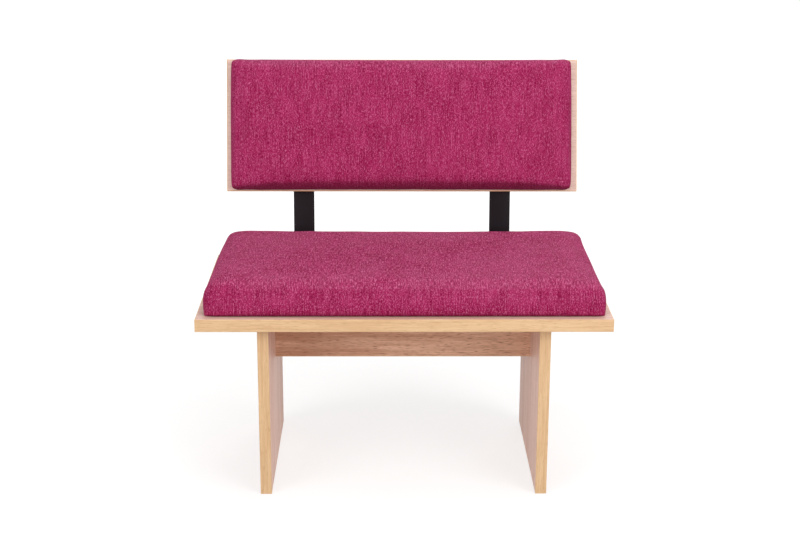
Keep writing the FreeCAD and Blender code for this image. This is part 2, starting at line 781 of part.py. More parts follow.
def make_pad(pad, at, turn, screw_drills):
    """Make a pad's cover with its turned-under hem, its foam block and its board."""
    cover = new_body(f"{pad}_cover", at, turn)
    loft_pad(cover, "Additive", pad, "0")
    loft_pad(cover, "Subtractive", pad, "cover_thickness")
    opening = new_sketch(cover, "XY_Plane")
    open_x, open_y = f"({pad}_half_x - hem_width)", f"({pad}_half_y - hem_width)"
    draw_rectangle(opening, f"-{open_x}", f"-{open_y}", open_x, open_y)
    pocket_up(cover, opening, "2 * cover_thickness")
    node(cover, f"{pad}_cover")

    inset = "(cover_thickness + soft_gap)"
    foam = new_body(f"{pad}_foam", at, turn)
    loft_pad(foam, "Additive", pad, inset)
    underside = new_sketch(foam, "XY_Plane")
    draw_rectangle(underside, f"-{pad}_half_x", f"-{pad}_half_y", f"{pad}_half_x", f"{pad}_half_y")
    pocket_up(foam, underside, f"cover_thickness + {pad}_board_thickness")
    node(foam, f"{pad}_foam")

    board = new_body(f"{pad}_blank", at, turn)
    outline = new_sketch(board, "XY_Plane", "cover_thickness")
    draw_pad_section(outline, pad, "0", inset)
    pad_out(board, outline, f"{pad}_board_thickness")
    drilled(f"{pad}_board", board, screw_drills)


def make_pads():
    """Make both pads in place, their boards drilled for the screws that hold them."""
    depth = "seat_pad_board_thickness - pad_screw_end_gap + end_clearance"
    drills = [
        drill("pad_screw_diameter", depth, (x, y, "seat_top + cover_thickness"))
        for x, y in pad_screw_places("seat_pad", "seat_middle")
    ]
    make_pad("seat_pad", ("0", "seat_middle", "seat_top"), UPRIGHT, drills)

    depth = "back_pad_board_thickness - pad_screw_end_gap + end_clearance"
    out = "backrest_thickness + cover_thickness"
    drills = [
        drill("pad_screw_diameter", depth, on_backrest(x, up, out), OUT_OF_BACKREST)
        for x, up in pad_screw_places("back_pad", "back_pad_middle")
    ]
    make_pad("back_pad", on_backrest("0", "back_pad_middle", "backrest_thickness"), OUT_OF_BACKREST, drills)


def make_panel_screws():
    """Make the screws that hold the seat down on the legs and the stretcher."""
    screw = turned(
        "panel_screw",
        [
            ("screw_tip_diameter", "-screw_length"),
            ("screw_diameter", "screw_tip_length - screw_length"),
            ("screw_diameter", "-screw_head_height"),
            ("screw_head_diameter", "-screw_head_height"),
            ("screw_head_diameter", "0"),
        ],
    )
    group("panel_screws", screw, [((x, y, "seat_top"), UPRIGHT) for x, y in panel_screw_places()])


def turned_dowel(name, length):
    """Return a dowel with chamfered ends."""
    return turned(
        name,
        [
            ("dowel_end_diameter", "0"),
            ("dowel_diameter", "dowel_end_length"),
            ("dowel_diameter", f"{length} - dowel_end_length"),
            ("dowel_end_diameter", length),
        ],
    )


def make_dowels():
    """Make the dowels in the tops of the legs and in the ends of the stretcher."""
    foot = "leg_height - leg_dowel_leg_depth"
    places = [((x, y, foot), UPRIGHT) for side in SIDES.values() for x, y in leg_dowel_places(side)]
    group("leg_dowels", turned_dowel("leg_dowel", "leg_dowel_length"), places)

    places = []
    for side in SIDES.values():
        x = f"{side} * (stretcher_half + stretcher_dowel_leg_depth)"
        for height in stretcher_dowel_heights():
            places.append(((x, "seat_middle", height), sideways(-side)))
    group("stretcher_dowels", turned_dowel("stretcher_dowel", "stretcher_dowel_length"), places)


def make_cams():
    """Make the cams that lock the stretcher to the legs, and their bolts."""
    drum = rod("cam_diameter", "cam_height", ("0", "0", "-cam_height"))
    way_in = ("-cam_diameter / 2", "0", "-stretcher_thickness / 2")
    bore = drill("cam_bolt_head_diameter", "cam_diameter", way_in, sideways(1))
    slot = block(
        "cam_slot",
        ("cam_slot_length", "cam_slot_width", "cam_slot_depth"),
        ("-cam_slot_length / 2", "-cam_slot_width / 2", "-cam_slot_depth"),
    )
    cam = cut_out("cam", drum, [bore, slot])

    neck = "cam_bolt_reach - cam_bolt_head_length"
    bolt = turned(
        "cam_bolt",
        [
            ("cam_bolt_thread_diameter", "-cam_bolt_thread_length"),
            ("cam_bolt_thread_diameter", "0"),
            ("cam_bolt_shank_diameter", "0"),
            ("cam_bolt_shank_diameter", neck),
            ("cam_bolt_head_diameter", neck),
            ("cam_bolt_head_diameter", "cam_bolt_reach"),
        ],
    )
    cams, bolts = [], []
    for side in SIDES.values():
        x = f"{side} * (stretcher_half - cam_setback)"
        cams.append(((x, "stretcher_rear", "stretcher_middle"), TO_REAR))
        bolts.append(((f"{side} * stretcher_half", "seat_middle", "stretcher_middle"), sideways(-side)))
    group("stretcher_cams", cam, cams)
    group("stretcher_cam_bolts", bolt, bolts)


def socket_bolt(name, panel_thickness):
    """Return a round-headed socket bolt that reaches through a bar and most of a panel."""
    length = f"(bar_thickness + {panel_thickness} - bolt_end_gap)"
    blank = turned(
        f"{name}_blank",
        [
            ("bolt_diameter", f"-{length}"),
            ("bolt_diameter", "0"),
            ("bolt_head_diameter", "0"),
            ("bolt_head_diameter", "bolt_rim_height"),
            ("bolt_crown_diameter", "bolt_head_height"),
        ],
    )
    floor = ("0", "0", "bolt_head_height - socket_depth")
    socket = rod("2 * socket_width / sqrt(3)", "socket_depth", floor, sides=HEXAGON_SIDES)
    bolt = doc.addObject("Part::Cut", name)
    bolt.Base = blank
    bolt.Tool = socket
    return bolt


def make_bar_bolts():
    """Make the bolts and the tee nuts that hold the bars to the seat and the backrest."""
    under = "leg_height - bar_thickness"
    below = [((x, y, under), HEAD_DOWN) for x, y in foot_bolt_places()]
    group("bar_foot_bolts", socket_bolt("foot_bolt", "seat_thickness"), below)
    behind = [(on_backrest(x, up, "-bar_thickness"), BEHIND_BACKREST) for x, up in head_bolt_places()]
    group("bar_head_bolts", socket_bolt("head_bolt", "backrest_thickness"), behind)

    blank = turned(
        "tee_nut_blank",
        [
            ("tee_nut_barrel_diameter", "-tee_nut_length"),
            ("tee_nut_barrel_diameter", "-tee_nut_flange_thickness"),
            ("tee_nut_flange_diameter", "-tee_nut_flange_thickness"),
            ("tee_nut_flange_diameter", "0"),
        ],
    )
    nut = doc.addObject("Part::Cut", "tee_nut")
    nut.Base = blank
    nut.Tool = drill("bolt_diameter", "tee_nut_length", ("0", "0", "-tee_nut_length"))
    above = [((x, y, "seat_top"), UPRIGHT) for x, y in foot_bolt_places()]
    group("bar_foot_tee_nuts", nut, above)
    front = [(on_backrest(x, up, "backrest_thickness"), OUT_OF_BACKREST) for x, up in head_bolt_places()]
    group("bar_head_tee_nuts", nut, front)


def pad_screw(pad, panel_thickness):
    """Return a round-headed wood screw that reaches through a panel into a pad's board."""
    length = f"({panel_thickness} + cover_thickness + {pad}_board_thickness - pad_screw_end_gap)"
    return turned(
        f"{pad}_screw",
        [
            ("pad_screw_tip_diameter", f"-{length}"),
            ("pad_screw_diameter", f"pad_screw_tip_length - {length}"),
            ("pad_screw_diameter", "0"),
            ("pad_screw_head_diameter", "0"),
            ("pad_screw_crown_diameter", "pad_screw_head_height"),
        ],
    )


def make_pad_screws():
    """Make the screws that hold the pads, up through the seat and forward through the backrest."""
    places = [((x, y, "leg_height"), HEAD_DOWN) for x, y in pad_screw_places("seat_pad", "seat_middle")]
    group("seat_pad_screws", pad_screw("seat_pad", "seat_thickness"), places)
    places = [
        (on_backrest(x, up, "0"), BEHIND_BACKREST)
        for x, up in pad_screw_places("back_pad", "back_pad_middle")
    ]
    group("back_pad_screws", pad_screw("back_pad", "backrest_thickness"), places)


def check():
    """Stop if any object failed or any node is empty or broken."""
    for thing in doc.Objects:
        if "Invalid" in thing.State or "Error" in thing.State:
            raise RuntimeError(f"{thing.Label} failed: {thing.State}")
    for piece in nodes:
        if piece.Shape.isNull() or not piece.Shape.isValid() or not piece.Shape.Solids:
            raise RuntimeError(f"{piece.Label} has no sound solid")


def write():
    """Write each node to a file of its own name."""
    os.makedirs("parts", exist_ok=True)
    for piece in nodes:
        piece.Shape.exportStep(f"parts/{piece.Label}.step")
        print(f"{piece.Label}: {len(piece.Shape.Solids)} solid(s), {piece.Shape.Volume / 1000:.1f} cm3")


def main():
    """Build the bench, check it and write its nodes."""
    fill_sheet()
    make_seat()
    for name, side in SIDES.items():
        make_leg(name, side)
        make_bar(name, side)
    make_stretcher()
    make_backrest()
    make_pads()
    make_panel_screws()
    make_dowels()
    make_cams()
    make_bar_bolts()
    make_pad_screws()
    doc.recompute()
    check()
    write()


main()
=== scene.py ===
"""Looks of a bench with an upholstered seat and backrest, in metres, over its CAD frame.

X runs to the right as seen from the front, Y to the rear and Z up. The panels, their bands and the
hidden fasteners are CAD nodes that get a finish here. The pads, the bent bars and the fasteners whose
heads are seen are built here in finer meshes and stand for their nodes.
"""

import logging
import math
from dataclasses import dataclass, field
from enum import Enum

import bmesh
import bpy
import numpy as np
from bpy.types import ID, Material, Mesh, Node, NodeOutputs, NodeSocket, NodeTree, Object
from mathutils import Matrix, Vector, noise


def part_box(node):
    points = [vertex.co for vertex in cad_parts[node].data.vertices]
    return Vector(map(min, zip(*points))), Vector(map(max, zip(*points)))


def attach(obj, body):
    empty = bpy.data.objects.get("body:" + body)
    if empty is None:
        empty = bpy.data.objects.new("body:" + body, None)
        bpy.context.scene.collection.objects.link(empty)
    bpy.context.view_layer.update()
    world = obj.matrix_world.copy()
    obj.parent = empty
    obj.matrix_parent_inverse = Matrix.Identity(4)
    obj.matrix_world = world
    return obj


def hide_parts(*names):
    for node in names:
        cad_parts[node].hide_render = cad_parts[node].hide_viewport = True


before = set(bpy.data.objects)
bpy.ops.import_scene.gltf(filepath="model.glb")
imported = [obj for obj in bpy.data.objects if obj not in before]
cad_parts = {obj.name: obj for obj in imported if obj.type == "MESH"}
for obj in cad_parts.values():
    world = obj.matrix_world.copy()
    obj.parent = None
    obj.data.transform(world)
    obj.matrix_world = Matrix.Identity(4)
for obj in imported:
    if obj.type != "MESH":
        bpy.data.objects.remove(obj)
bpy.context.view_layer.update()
BODY = "root"
LOG = logging.getLogger("bench")

Colour = tuple[float, float, float, float]
Pair = tuple[float, float]
Point = tuple[float, float, float]
Profile = tuple[Pair, ...]
Source = NodeSocket | float | tuple
Inputs = dict[str | int, Source]
WHITE: Colour = (1, 1, 1, 1)
SIDES = (-1, 1)


def srgb(red: int, green: int, blue: int) -> Colour:
    """Return the linear colour, with full alpha, of a screen's colour from 0 to 255."""
    parts = (channel / 255 for channel in (red, green, blue))
    return (*(((part + 0.055) / 1.055) ** 2.4 if part > 0.04045 else part / 12.92 for part in parts), 1.0)


class Grain(Enum):
    """The way that the grain of a board or band runs."""

    ACROSS = "across"
    DEEP = "deep"
    UPRIGHT = "upright"

    def turn(self) -> Point:
        """Return the rotation that lays this grain along X."""
        quarter = math.pi / 2
        return {"across": (0, 0, 0), "deep": (0, 0, quarter), "upright": (0, quarter, 0)}[self.value]


class Recess(Enum):
    """The recess in a fastener's head."""

    HEXAGON = "hexagon"
    CROSS = "cross"
    SLOT = "slot"

    def radius(self, angle: float, reach: float) -> float:
        """Return how far the recess reaches from the middle at an angle.

        Args:
            angle: The angle round the head.
            reach: Half the width of a hexagon, or half the length of a slot or cross.

        Returns:
            The distance from the middle to the recess's edge.
        """
        if self is Recess.HEXAGON:
            return reach / math.cos((angle + math.pi / 6) % (math.pi / 3) - math.pi / 6)
        along, aside = abs(math.cos(angle)), abs(math.sin(angle))
        if self is Recess.CROSS:
            along, aside = max(along, aside), min(along, aside)
        half_width = 0.2 * reach
        return min(reach / max(along, 1e-6), half_width / max(aside, 1e-6))


class Graph:
    """Draws shader nodes in one tree and hands back their sockets."""

    # A mix node has sockets for each kind of value under the same names: these are the colours'.
    SHARE, FIRST, SECOND, MIXED = 0, 6, 7, 2

    def __init__(self, tree: NodeTree) -> None:
        """Keep the tree to draw in."""
        self.tree = tree

    def add(self, kind: str, inputs: Inputs | None = None, **settings: object) -> Node:
        """Add a node.

        Args:
            kind: The node's type.
            inputs: What goes into its inputs, by name or number.
            settings: Its own properties.

        Returns:
            The new node.
        """
        node = self.tree.nodes.new(kind)
        for name, setting in settings.items():
            setattr(node, name, setting)
        self.fill(node, inputs or {})
        return node

    def fill(self, node: Node, inputs: Inputs) -> None:
        """Feed a node's inputs, by name or number."""
        for name, source in inputs.items():
            self.feed(node.inputs[name], source)

    def here(self) -> NodeSocket:
        """Return where the surface is in its piece's own frame."""
        return self.add("ShaderNodeTexCoord").outputs["Object"]

    def feed(self, socket: NodeSocket, source: Source) -> None:
        """Link a socket to another one, or set its value.

        Args:
            socket: The input to feed.
            source: A socket or a plain value.
        """
        if isinstance(source, NodeSocket):
            self.tree.links.new(source, socket)
        else:
            socket.default_value = source

    def math(self, operation: str, *terms: Source, clamp: bool = False) -> NodeSocket:
        """Return the result of a calculation with its terms, kept between 0 and 1 if wanted."""
        inputs = dict(enumerate(terms))
        return self.add("ShaderNodeMath", inputs, operation=operation, use_clamp=clamp).outputs[0]

    def mix(self, share: Source, first: Source, second: Source) -> NodeSocket:
        """Return a mix of two colours, with the second one's share."""
        inputs = {self.SHARE: share, self.FIRST: first, self.SECOND: second}
        return self.add("ShaderNodeMix", inputs, data_type="RGBA").outputs[self.MIXED]

    def scaled(self, vector: Source, scale: Source) -> NodeSocket:
        """Return a vector times the factor of each axis."""
        return self.add("ShaderNodeVectorMath", {0: vector, 1: scale}, operation="MULTIPLY").outputs[0]

    def noise(self, vector: Source, scale: Source, detail: float = 2.0, warp: float = 0.0) -> NodeSocket:
        """Return a noise about 0.5 of so many lumps a metre on each axis, with finer layers and a twist."""
        inputs = {"Vector": self.scaled(vector, scale), "Scale": 1.0, "Detail": detail, "Distortion": warp}
        return self.add("ShaderNodeTexNoise", inputs).outputs[0]

    def ease(
        self, value: Source, low: float, high: float, to_low: float = 0.0, to_high: float = 1.0
    ) -> NodeSocket:
        """Bring a value smoothly from between low and high to between to_low and to_high."""
        inputs = {"Value": value, "From Min": low, "From Max": high, "To Min": to_low, "To Max": to_high}
        return self.add("ShaderNodeMapRange", inputs, interpolation_type="SMOOTHSTEP").outputs[0]


class Effect:
    """A shader node group, drawn once and placed in each material that uses it."""

    def __init__(self, name: str, inputs: tuple[str, ...], outputs: tuple[str, ...]) -> None:
        """Make the group and its sockets, which are numbers unless they are called Vector.

        Args:
            name: The group's name.
            inputs: The names of its inputs.
            outputs: The names of its outputs.
        """
        self.tree = bpy.data.node_groups.new(name, "ShaderNodeTree")
        for way, sockets in (("INPUT", inputs), ("OUTPUT", outputs)):
            for socket in sockets:
                kind = "NodeSocketVector" if socket == "Vector" else "NodeSocketFloat"
                self.tree.interface.new_socket(name=socket, in_out=way, socket_type=kind)
        self.graph = Graph(self.tree)
        self.given = self.graph.add("NodeGroupInput").outputs
        self.result = self.graph.add("NodeGroupOutput")

    def give(self, **results: Source) -> "Effect":
        """Link the group's outputs to their results, and return the finished effect."""
        self.graph.fill(self.result, results)
        return self

    def place(self, graph: Graph, **inputs: Source) -> NodeOutputs:
        """Place the group in a material's graph with its inputs, and return its outputs."""
        return graph.add("ShaderNodeGroup", inputs, node_tree=self.tree).outputs


def draw_oak_grain() -> Effect:
    """Draw the grain of a straight-grown oak surface, which runs along X.

    Returns:
        An effect that gives the tone, the dark pores and the height of the surface.
    """
    effect = Effect("oak_grain", ("Vector", "Figure", "Pore Depth"), ("Tone", "Pores", "Height"))
    graph, given = effect.graph, effect.given
    # Each noise has so many lumps a metre along the grain and across it.
    broad = graph.noise(given["Vector"], (2.2, 26, 26), 3.0, 0.5)
    lines = graph.noise(given["Vector"], (7, 230, 230), 3.0, 0.25)
    fine = graph.noise(given["Vector"], (24, 620, 620), 2.0)
    mixed = graph.math("MULTIPLY_ADD", graph.math("SUBTRACT", broad, 0.5), given["Figure"], lines)
    tone = graph.math("MULTIPLY_ADD", graph.math("SUBTRACT", fine, 0.5), 0.45, mixed)
    dashes = graph.noise(given["Vector"], (55, 950, 950), 1.0)
    pores = graph.math("MULTIPLY", graph.ease(dashes, 0.56, 0.72), given["Pore Depth"])
    height = graph.math("SUBTRACT", graph.math("MULTIPLY", fine, 0.4), pores)
    return effect.give(Tone=graph.ease(tone, 0.25, 0.78), Pores=pores, Height=height)


def draw_edge_wear_and_highlight() -> Effect:
    """Draw an edge mask from how a surface turns close by: wear on the metals, a painted highlight on the
    oak.

    Returns:
        An effect that gives a mask along the edges, broken up by a noise.
    """
    effect = Effect("edge_wear_and_highlight", ("Vector", "Amount"), ("Mask",))
    graph, given = effect.graph, effect.given
    rounded = graph.add("ShaderNodeBevel", {"Radius": 0.0016}, samples=4).outputs[0]
    flat = graph.add("ShaderNodeNewGeometry").outputs["Normal"]
    turn = graph.add("ShaderNodeVectorMath", {0: rounded, 1: flat}, operation="DOT_PRODUCT")
    edge = graph.ease(graph.math("SUBTRACT", 1.0, turn.outputs["Value"]), 0.01, 0.16)
    broken = graph.ease(graph.noise(given["Vector"], (55, 55, 55), 4.0), 0.35, 0.7)
    mask = graph.math("MULTIPLY", graph.math("MULTIPLY", edge, broken), given["Amount"], clamp=True)
    return effect.give(Mask=mask)


def draw_mottle() -> Effect:
    """Draw slow uneven patches with a fine haze in them, as handling and dust leave.

    Returns:
        An effect that gives a mask.
    """
    effect = Effect("mottle", ("Vector", "Amount"), ("Mask",))
    graph, given = effect.graph, effect.given
    patches = graph.ease(graph.noise(given["Vector"], (6, 6, 6), 3.0, 0.6), 0.35, 0.7)
    haze = graph.ease(graph.noise(given["Vector"], (240, 240, 240), 2.0), 0.3, 0.8, 0.6, 1.0)
    mask = graph.math("MULTIPLY", graph.math("MULTIPLY", patches, haze), given["Amount"], clamp=True)
    return effect.give(Mask=mask)


def draw_melange() -> Effect:
    """Draw a soft flecked weave on a pad whose own Z points out of its panel.

    The weave is followed over the pad's edges: on a side, the distance below the top is added to the
    distance from the middle.

    Returns:
        An effect that gives the light and the dark flecks, the streaks of nap, where the cloth faces up
        and takes painted light with lint, where it faces down and takes painted shade, and the height.
    """
    results = ("Light", "Dark", "Nap", "Up", "Down", "Height")
    effect = Effect("melange_weave", ("Top", "Pitch"), results)
    graph, given = effect.graph, effect.given
    place = graph.add("ShaderNodeTexCoord")
    at = graph.add("ShaderNodeSeparateXYZ", {"Vector": place.outputs["Object"]}).outputs
    facing = graph.add("ShaderNodeSeparateXYZ", {"Vector": place.outputs["Normal"]}).outputs
    below = graph.math("SUBTRACT", given["Top"], at["Z"])
    ends = graph.math("GREATER_THAN", *(graph.math("ABSOLUTE", facing[axis]) for axis in "XY"))
    reach = []
    for axis, side in (("X", ends), ("Y", graph.math("SUBTRACT", 1.0, ends))):
        way = graph.math("MULTIPLY", graph.math("SIGN", facing[axis]), side)
        reach.append(graph.math("MULTIPLY_ADD", way, below, at[axis]))
    cloth = graph.add("ShaderNodeCombineXYZ", {"X": reach[0], "Y": reach[1]}).outputs[0]

    out = graph.add("ShaderNodeNewGeometry").outputs["Normal"]
    rise = graph.add("ShaderNodeSeparateXYZ", {"Vector": out}).outputs["Z"]
    # Where the cloth faces up it takes painted light with lint, and where it faces down painted shade.
    up, down = graph.ease(rise, 0.1, 1.0), graph.ease(graph.math("MULTIPLY", rise, -1.0), 0.16, 0.6)

    # Each layer of yarn has so many lumps a metre across the cloth and along it, and a weight.
    flecks, slubs, lengths = ((760, 430, 1), 3.0), ((480, 150, 1), 2.6), ((430, 18, 1), 1.4)
    runs = ((420, 68, 1), graph.math("MULTIPLY", up, 3.8))
    yarn = 0.0
    for scale, weight in (flecks, slubs, lengths, runs):
        lumps = graph.math("SUBTRACT", graph.noise(cloth, scale, 2.0), 0.5)
        yarn = graph.math("MULTIPLY_ADD", lumps, weight, yarn)
    light = graph.math("MULTIPLY", yarn, 1.0, clamp=True)
    dark = graph.math("MULTIPLY", yarn, -1.0, clamp=True)
    streaks = graph.noise(cloth, (130, 14, 1), 2.0, 0.2)
    clouds = graph.noise(cloth, (22, 15, 1), 3.0, 0.5)
    nap = graph.math("ADD", graph.math("MULTIPLY", streaks, 0.5), graph.math("MULTIPLY", clouds, 0.5))

    turns = graph.math("DIVIDE", 2 * math.pi, given["Pitch"])
    waves = [graph.math("SINE", graph.math("MULTIPLY", way, turns)) for way in reach]
    weave = graph.math("MULTIPLY", waves[0], waves[1])
    fuzz = graph.noise(cloth, (900, 600, 1), 2.0)
    pile = graph.math("MULTIPLY_ADD", light, 0.5, fuzz)
    height = graph.math("ADD", graph.math("MULTIPLY", weave, 0.25), pile)
    nap = graph.ease(nap, 0.34, 0.66)
    return effect.give(Light=light, Dark=dark, Nap=nap, Up=up, Down=down, Height=height)


class Effects:
    """The effects that the finishes share."""

    oak_grain = draw_oak_grain()
    edge_wear_and_highlight = draw_edge_wear_and_highlight()
    mottle = draw_mottle()
    melange = draw_melange()


@dataclass(frozen=True)
class Finish:
    """What every finish has: a material with one main shader."""

    name: str

    def start(self) -> tuple[Material, Graph, Node]:
        """Start a material.

        Returns:
            The material, its graph and its main shader.
        """
        material = bpy.data.materials.new(self.name)
        material.use_nodes = True
        graph = Graph(material.node_tree)
        return material, graph, material.node_tree.nodes["Principled BSDF"]

    def bump(
        self, graph: Graph, shader: Node, height: Source, distance: float, strength: float
    ) -> None:
        """Raise a surface by a height, of which 1 is a distance in metres, so strongly."""
        inputs = {"Height": height, "Distance": distance, "Strength": strength}
        graph.fill(shader, {"Normal": graph.add("ShaderNodeBump", inputs).outputs[0]})


@dataclass(frozen=True)
class Oak(Finish):
    """An oak surface, or another pale wood, with its grain along one way."""

    light: Colour
    dark: Colour
    pore: Colour
    grain: Grain
    figure: float = 0.9
    pore_depth: float = 0.5
    roughness: float = 0.5
    handling: float = 0.3
    # How strongly the edges take the painted highlight.
    edge_amount: float = 0.35
    relief: float = 0.0004

    def material(self) -> Material:
        """Make the material.

        Returns:
            A wood with grain, pores, light handling marks and a painted highlight along its edges.
        """
        material, graph, shader = self.start()
        place = graph.here()
        along = graph.add("ShaderNodeMapping", {"Vector": place, "Rotation": self.grain.turn()}).outputs[0]
        inputs = {"Vector": along, "Figure": self.figure, "Pore Depth": self.pore_depth}
        wood = Effects.oak_grain.place(graph, **inputs)
        handled = Effects.mottle.place(graph, Vector=place, Amount=self.handling)["Mask"]
        edge_mask = Effects.edge_wear_and_highlight.place(graph, Vector=place, Amount=self.edge_amount)["Mask"]
        colour = graph.mix(wood["Tone"], self.dark, self.light)
        colour = graph.mix(wood["Pores"], colour, self.pore)
        colour = graph.mix(graph.math("MULTIPLY", handled, 0.25), colour, self.dark)
        # Painted highlight: the edges are paler, as where a rounded edge catches the light.
        colour = graph.mix(edge_mask, colour, tuple(min(1, 1.25 * part) for part in self.light))
        rough = graph.math("MULTIPLY_ADD", wood["Tone"], -0.08, self.roughness)
        rough = graph.math("MULTIPLY_ADD", handled, 0.12, rough)
        graph.fill(shader, {"Base Color": colour, "Roughness": rough, "Specular IOR Level": 0.35})
        self.bump(graph, shader, wood["Height"], self.relief, 0.35)
        return material


@dataclass(frozen=True)
class Melange(Finish):
    """A soft flecked upholstery cloth."""

    top: float
    ground: Colour = srgb(173, 38, 94)
    pressed: Colour = srgb(150, 12, 71)
    fleck: Colour = srgb(206, 110, 152)
    shade: Colour = srgb(100, 6, 44)
    # A paler colour on cloth that faces up: painted light from above, with lint.
    painted_light_and_lint: Colour = srgb(200, 114, 150)
    # The colour of the painted shade on cloth that faces down.
    painted_shade: Colour = srgb(92, 2, 38)
    sheen_tint: Colour = srgb(255, 130, 176)
    sheen: float = 0.1
    painted_light_share: float = 0.045
    painted_light_patches: float = 0.16
    painted_shade_share: float = 0.6
    pitch: float = 0.0026
    relief: float = 0.0011

    def material(self) -> Material:
        """Make the material.

        Returns:
            A cloth with flecks, streaks of nap, painted light with lint where it faces up, painted shade
            where it faces down, and a sheen.
        """
        material, graph, shader = self.start()
        cloth = Effects.melange.place(graph, Top=self.top, Pitch=self.pitch)
        patches = Effects.mottle.place(graph, Vector=graph.here(), Amount=self.painted_light_patches)["Mask"]
        colour = graph.mix(cloth["Nap"], self.pressed, self.ground)
        colour = graph.mix(cloth["Dark"], colour, self.shade)
        colour = graph.mix(cloth["Light"], colour, self.fleck)
        # Painted light with lint: the cloth is paler where it faces up, in patches.
        painted_light_and_lint_mask = graph.math("MULTIPLY", cloth["Up"], graph.math("ADD", patches, self.painted_light_share))
        colour = graph.mix(painted_light_and_lint_mask, colour, self.painted_light_and_lint)
        # Painted shade: the cloth is darkened where it faces down, as on the lower edge of the backrest's
        # pad.
        colour = graph.mix(graph.math("MULTIPLY", cloth["Down"], self.painted_shade_share), colour, self.painted_shade)
        rough = graph.math("MULTIPLY_ADD", cloth["Light"], -0.1, 0.95)
        graph.fill(shader, {"Base Color": colour, "Roughness": rough, "Specular IOR Level": 0.12})
        sheen = {"Sheen Weight": self.sheen, "Sheen Roughness": 0.45, "Sheen Tint": self.sheen_tint}
        graph.fill(shader, sheen)
        self.bump(graph, shader, cloth["Height"], self.relief, 0.7)
        return material


@dataclass(frozen=True)
class PowderCoat(Finish):
    """A baked coat on steel, with a slight skin of fine lumps."""

    colour: Colour
    bare: Colour = srgb(120, 116, 116)
    handling: float = 0.8
    edge_amount: float = 0.25
    relief: float = 0.00035

    def material(self) -> Material:
        """Make the material.

        Returns:
            A dark coat, a little paler where it is handled and rubbed.
        """
        material, graph, shader = self.start()
        place = graph.here()
        handled = Effects.mottle.place(graph, Vector=place, Amount=self.handling)["Mask"]
        edge_mask = Effects.edge_wear_and_highlight.place(graph, Vector=place, Amount=self.edge_amount)["Mask"]
        pale = tuple(min(1, 1.6 * part + 0.004) for part in self.colour)
        colour = graph.mix(edge_mask, graph.mix(handled, self.colour, pale), self.bare)
        rough = graph.math("MULTIPLY_ADD", handled, 0.14, 0.5)
        graph.fill(shader, {"Base Color": colour, "Roughness": rough, "Specular IOR Level": 0.18})
        skin = graph.noise(place, (900, 900, 900), 2.0)
        self.bump(graph, shader, skin, self.relief, 0.35)
        return material


@dataclass(frozen=True)
class Plated(Finish):
    """Zinc-plated steel."""

    colour: Colour
    bright: Colour = srgb(226, 226, 222)
    edge_amount: float = 0.6
    relief: float = 0.0002

    def material(self) -> Material:
        """Make the material.

        Returns:
            A metal with cloudy patches and brighter rubbed edges.
        """
        material, graph, shader = self.start()
        place = graph.here()
        cloudy = graph.ease(graph.noise(place, (260, 260, 260), 3.0, 0.5), 0.3, 0.7)
        edge_mask = Effects.edge_wear_and_highlight.place(graph, Vector=place, Amount=self.edge_amount)["Mask"]
        dull = tuple(0.72 * part for part in self.colour[:3])
        colour = graph.mix(edge_mask, graph.mix(cloudy, (*dull, 1), self.colour), self.bright)
        rough = graph.math("MULTIPLY_ADD", cloudy, -0.14, 0.44)
        graph.fill(shader, {"Base Color": colour, "Roughness": rough, "Metallic": 1.0})
        self.bump(graph, shader, cloudy, self.relief, 0.2)
        return material


@dataclass(frozen=True)
class Foam(Finish):
    """Cut upholstery foam, with open cells."""

    colour: Colour
    aged: Colour = srgb(214, 190, 130)
    ageing: float = 0.6
    cells: Point = (700, 700, 700)
    relief: float = 0.0008

    def material(self) -> Material:
        """Make the material.

        Returns:
            A pale foam, darker in its cells.
        """
        material, graph, shader = self.start()
        place = graph.here()
        inputs = {"Vector": graph.scaled(place, self.cells), "Scale": 1.0}
        cells = graph.ease(graph.add("ShaderNodeTexVoronoi", inputs).outputs["Distance"], 0.1, 0.7)
        aged = Effects.mottle.place(graph, Vector=place, Amount=self.ageing)["Mask"]
        pit = tuple(0.6 * part for part in self.colour[:3])
        colour = graph.mix(aged, graph.mix(cells, self.colour, (*pit, 1)), self.aged)
        graph.fill(shader, {"Base Color": colour, "Roughness": 0.95})
        self.bump(graph, shader, cells, self.relief, 0.6)
        return material


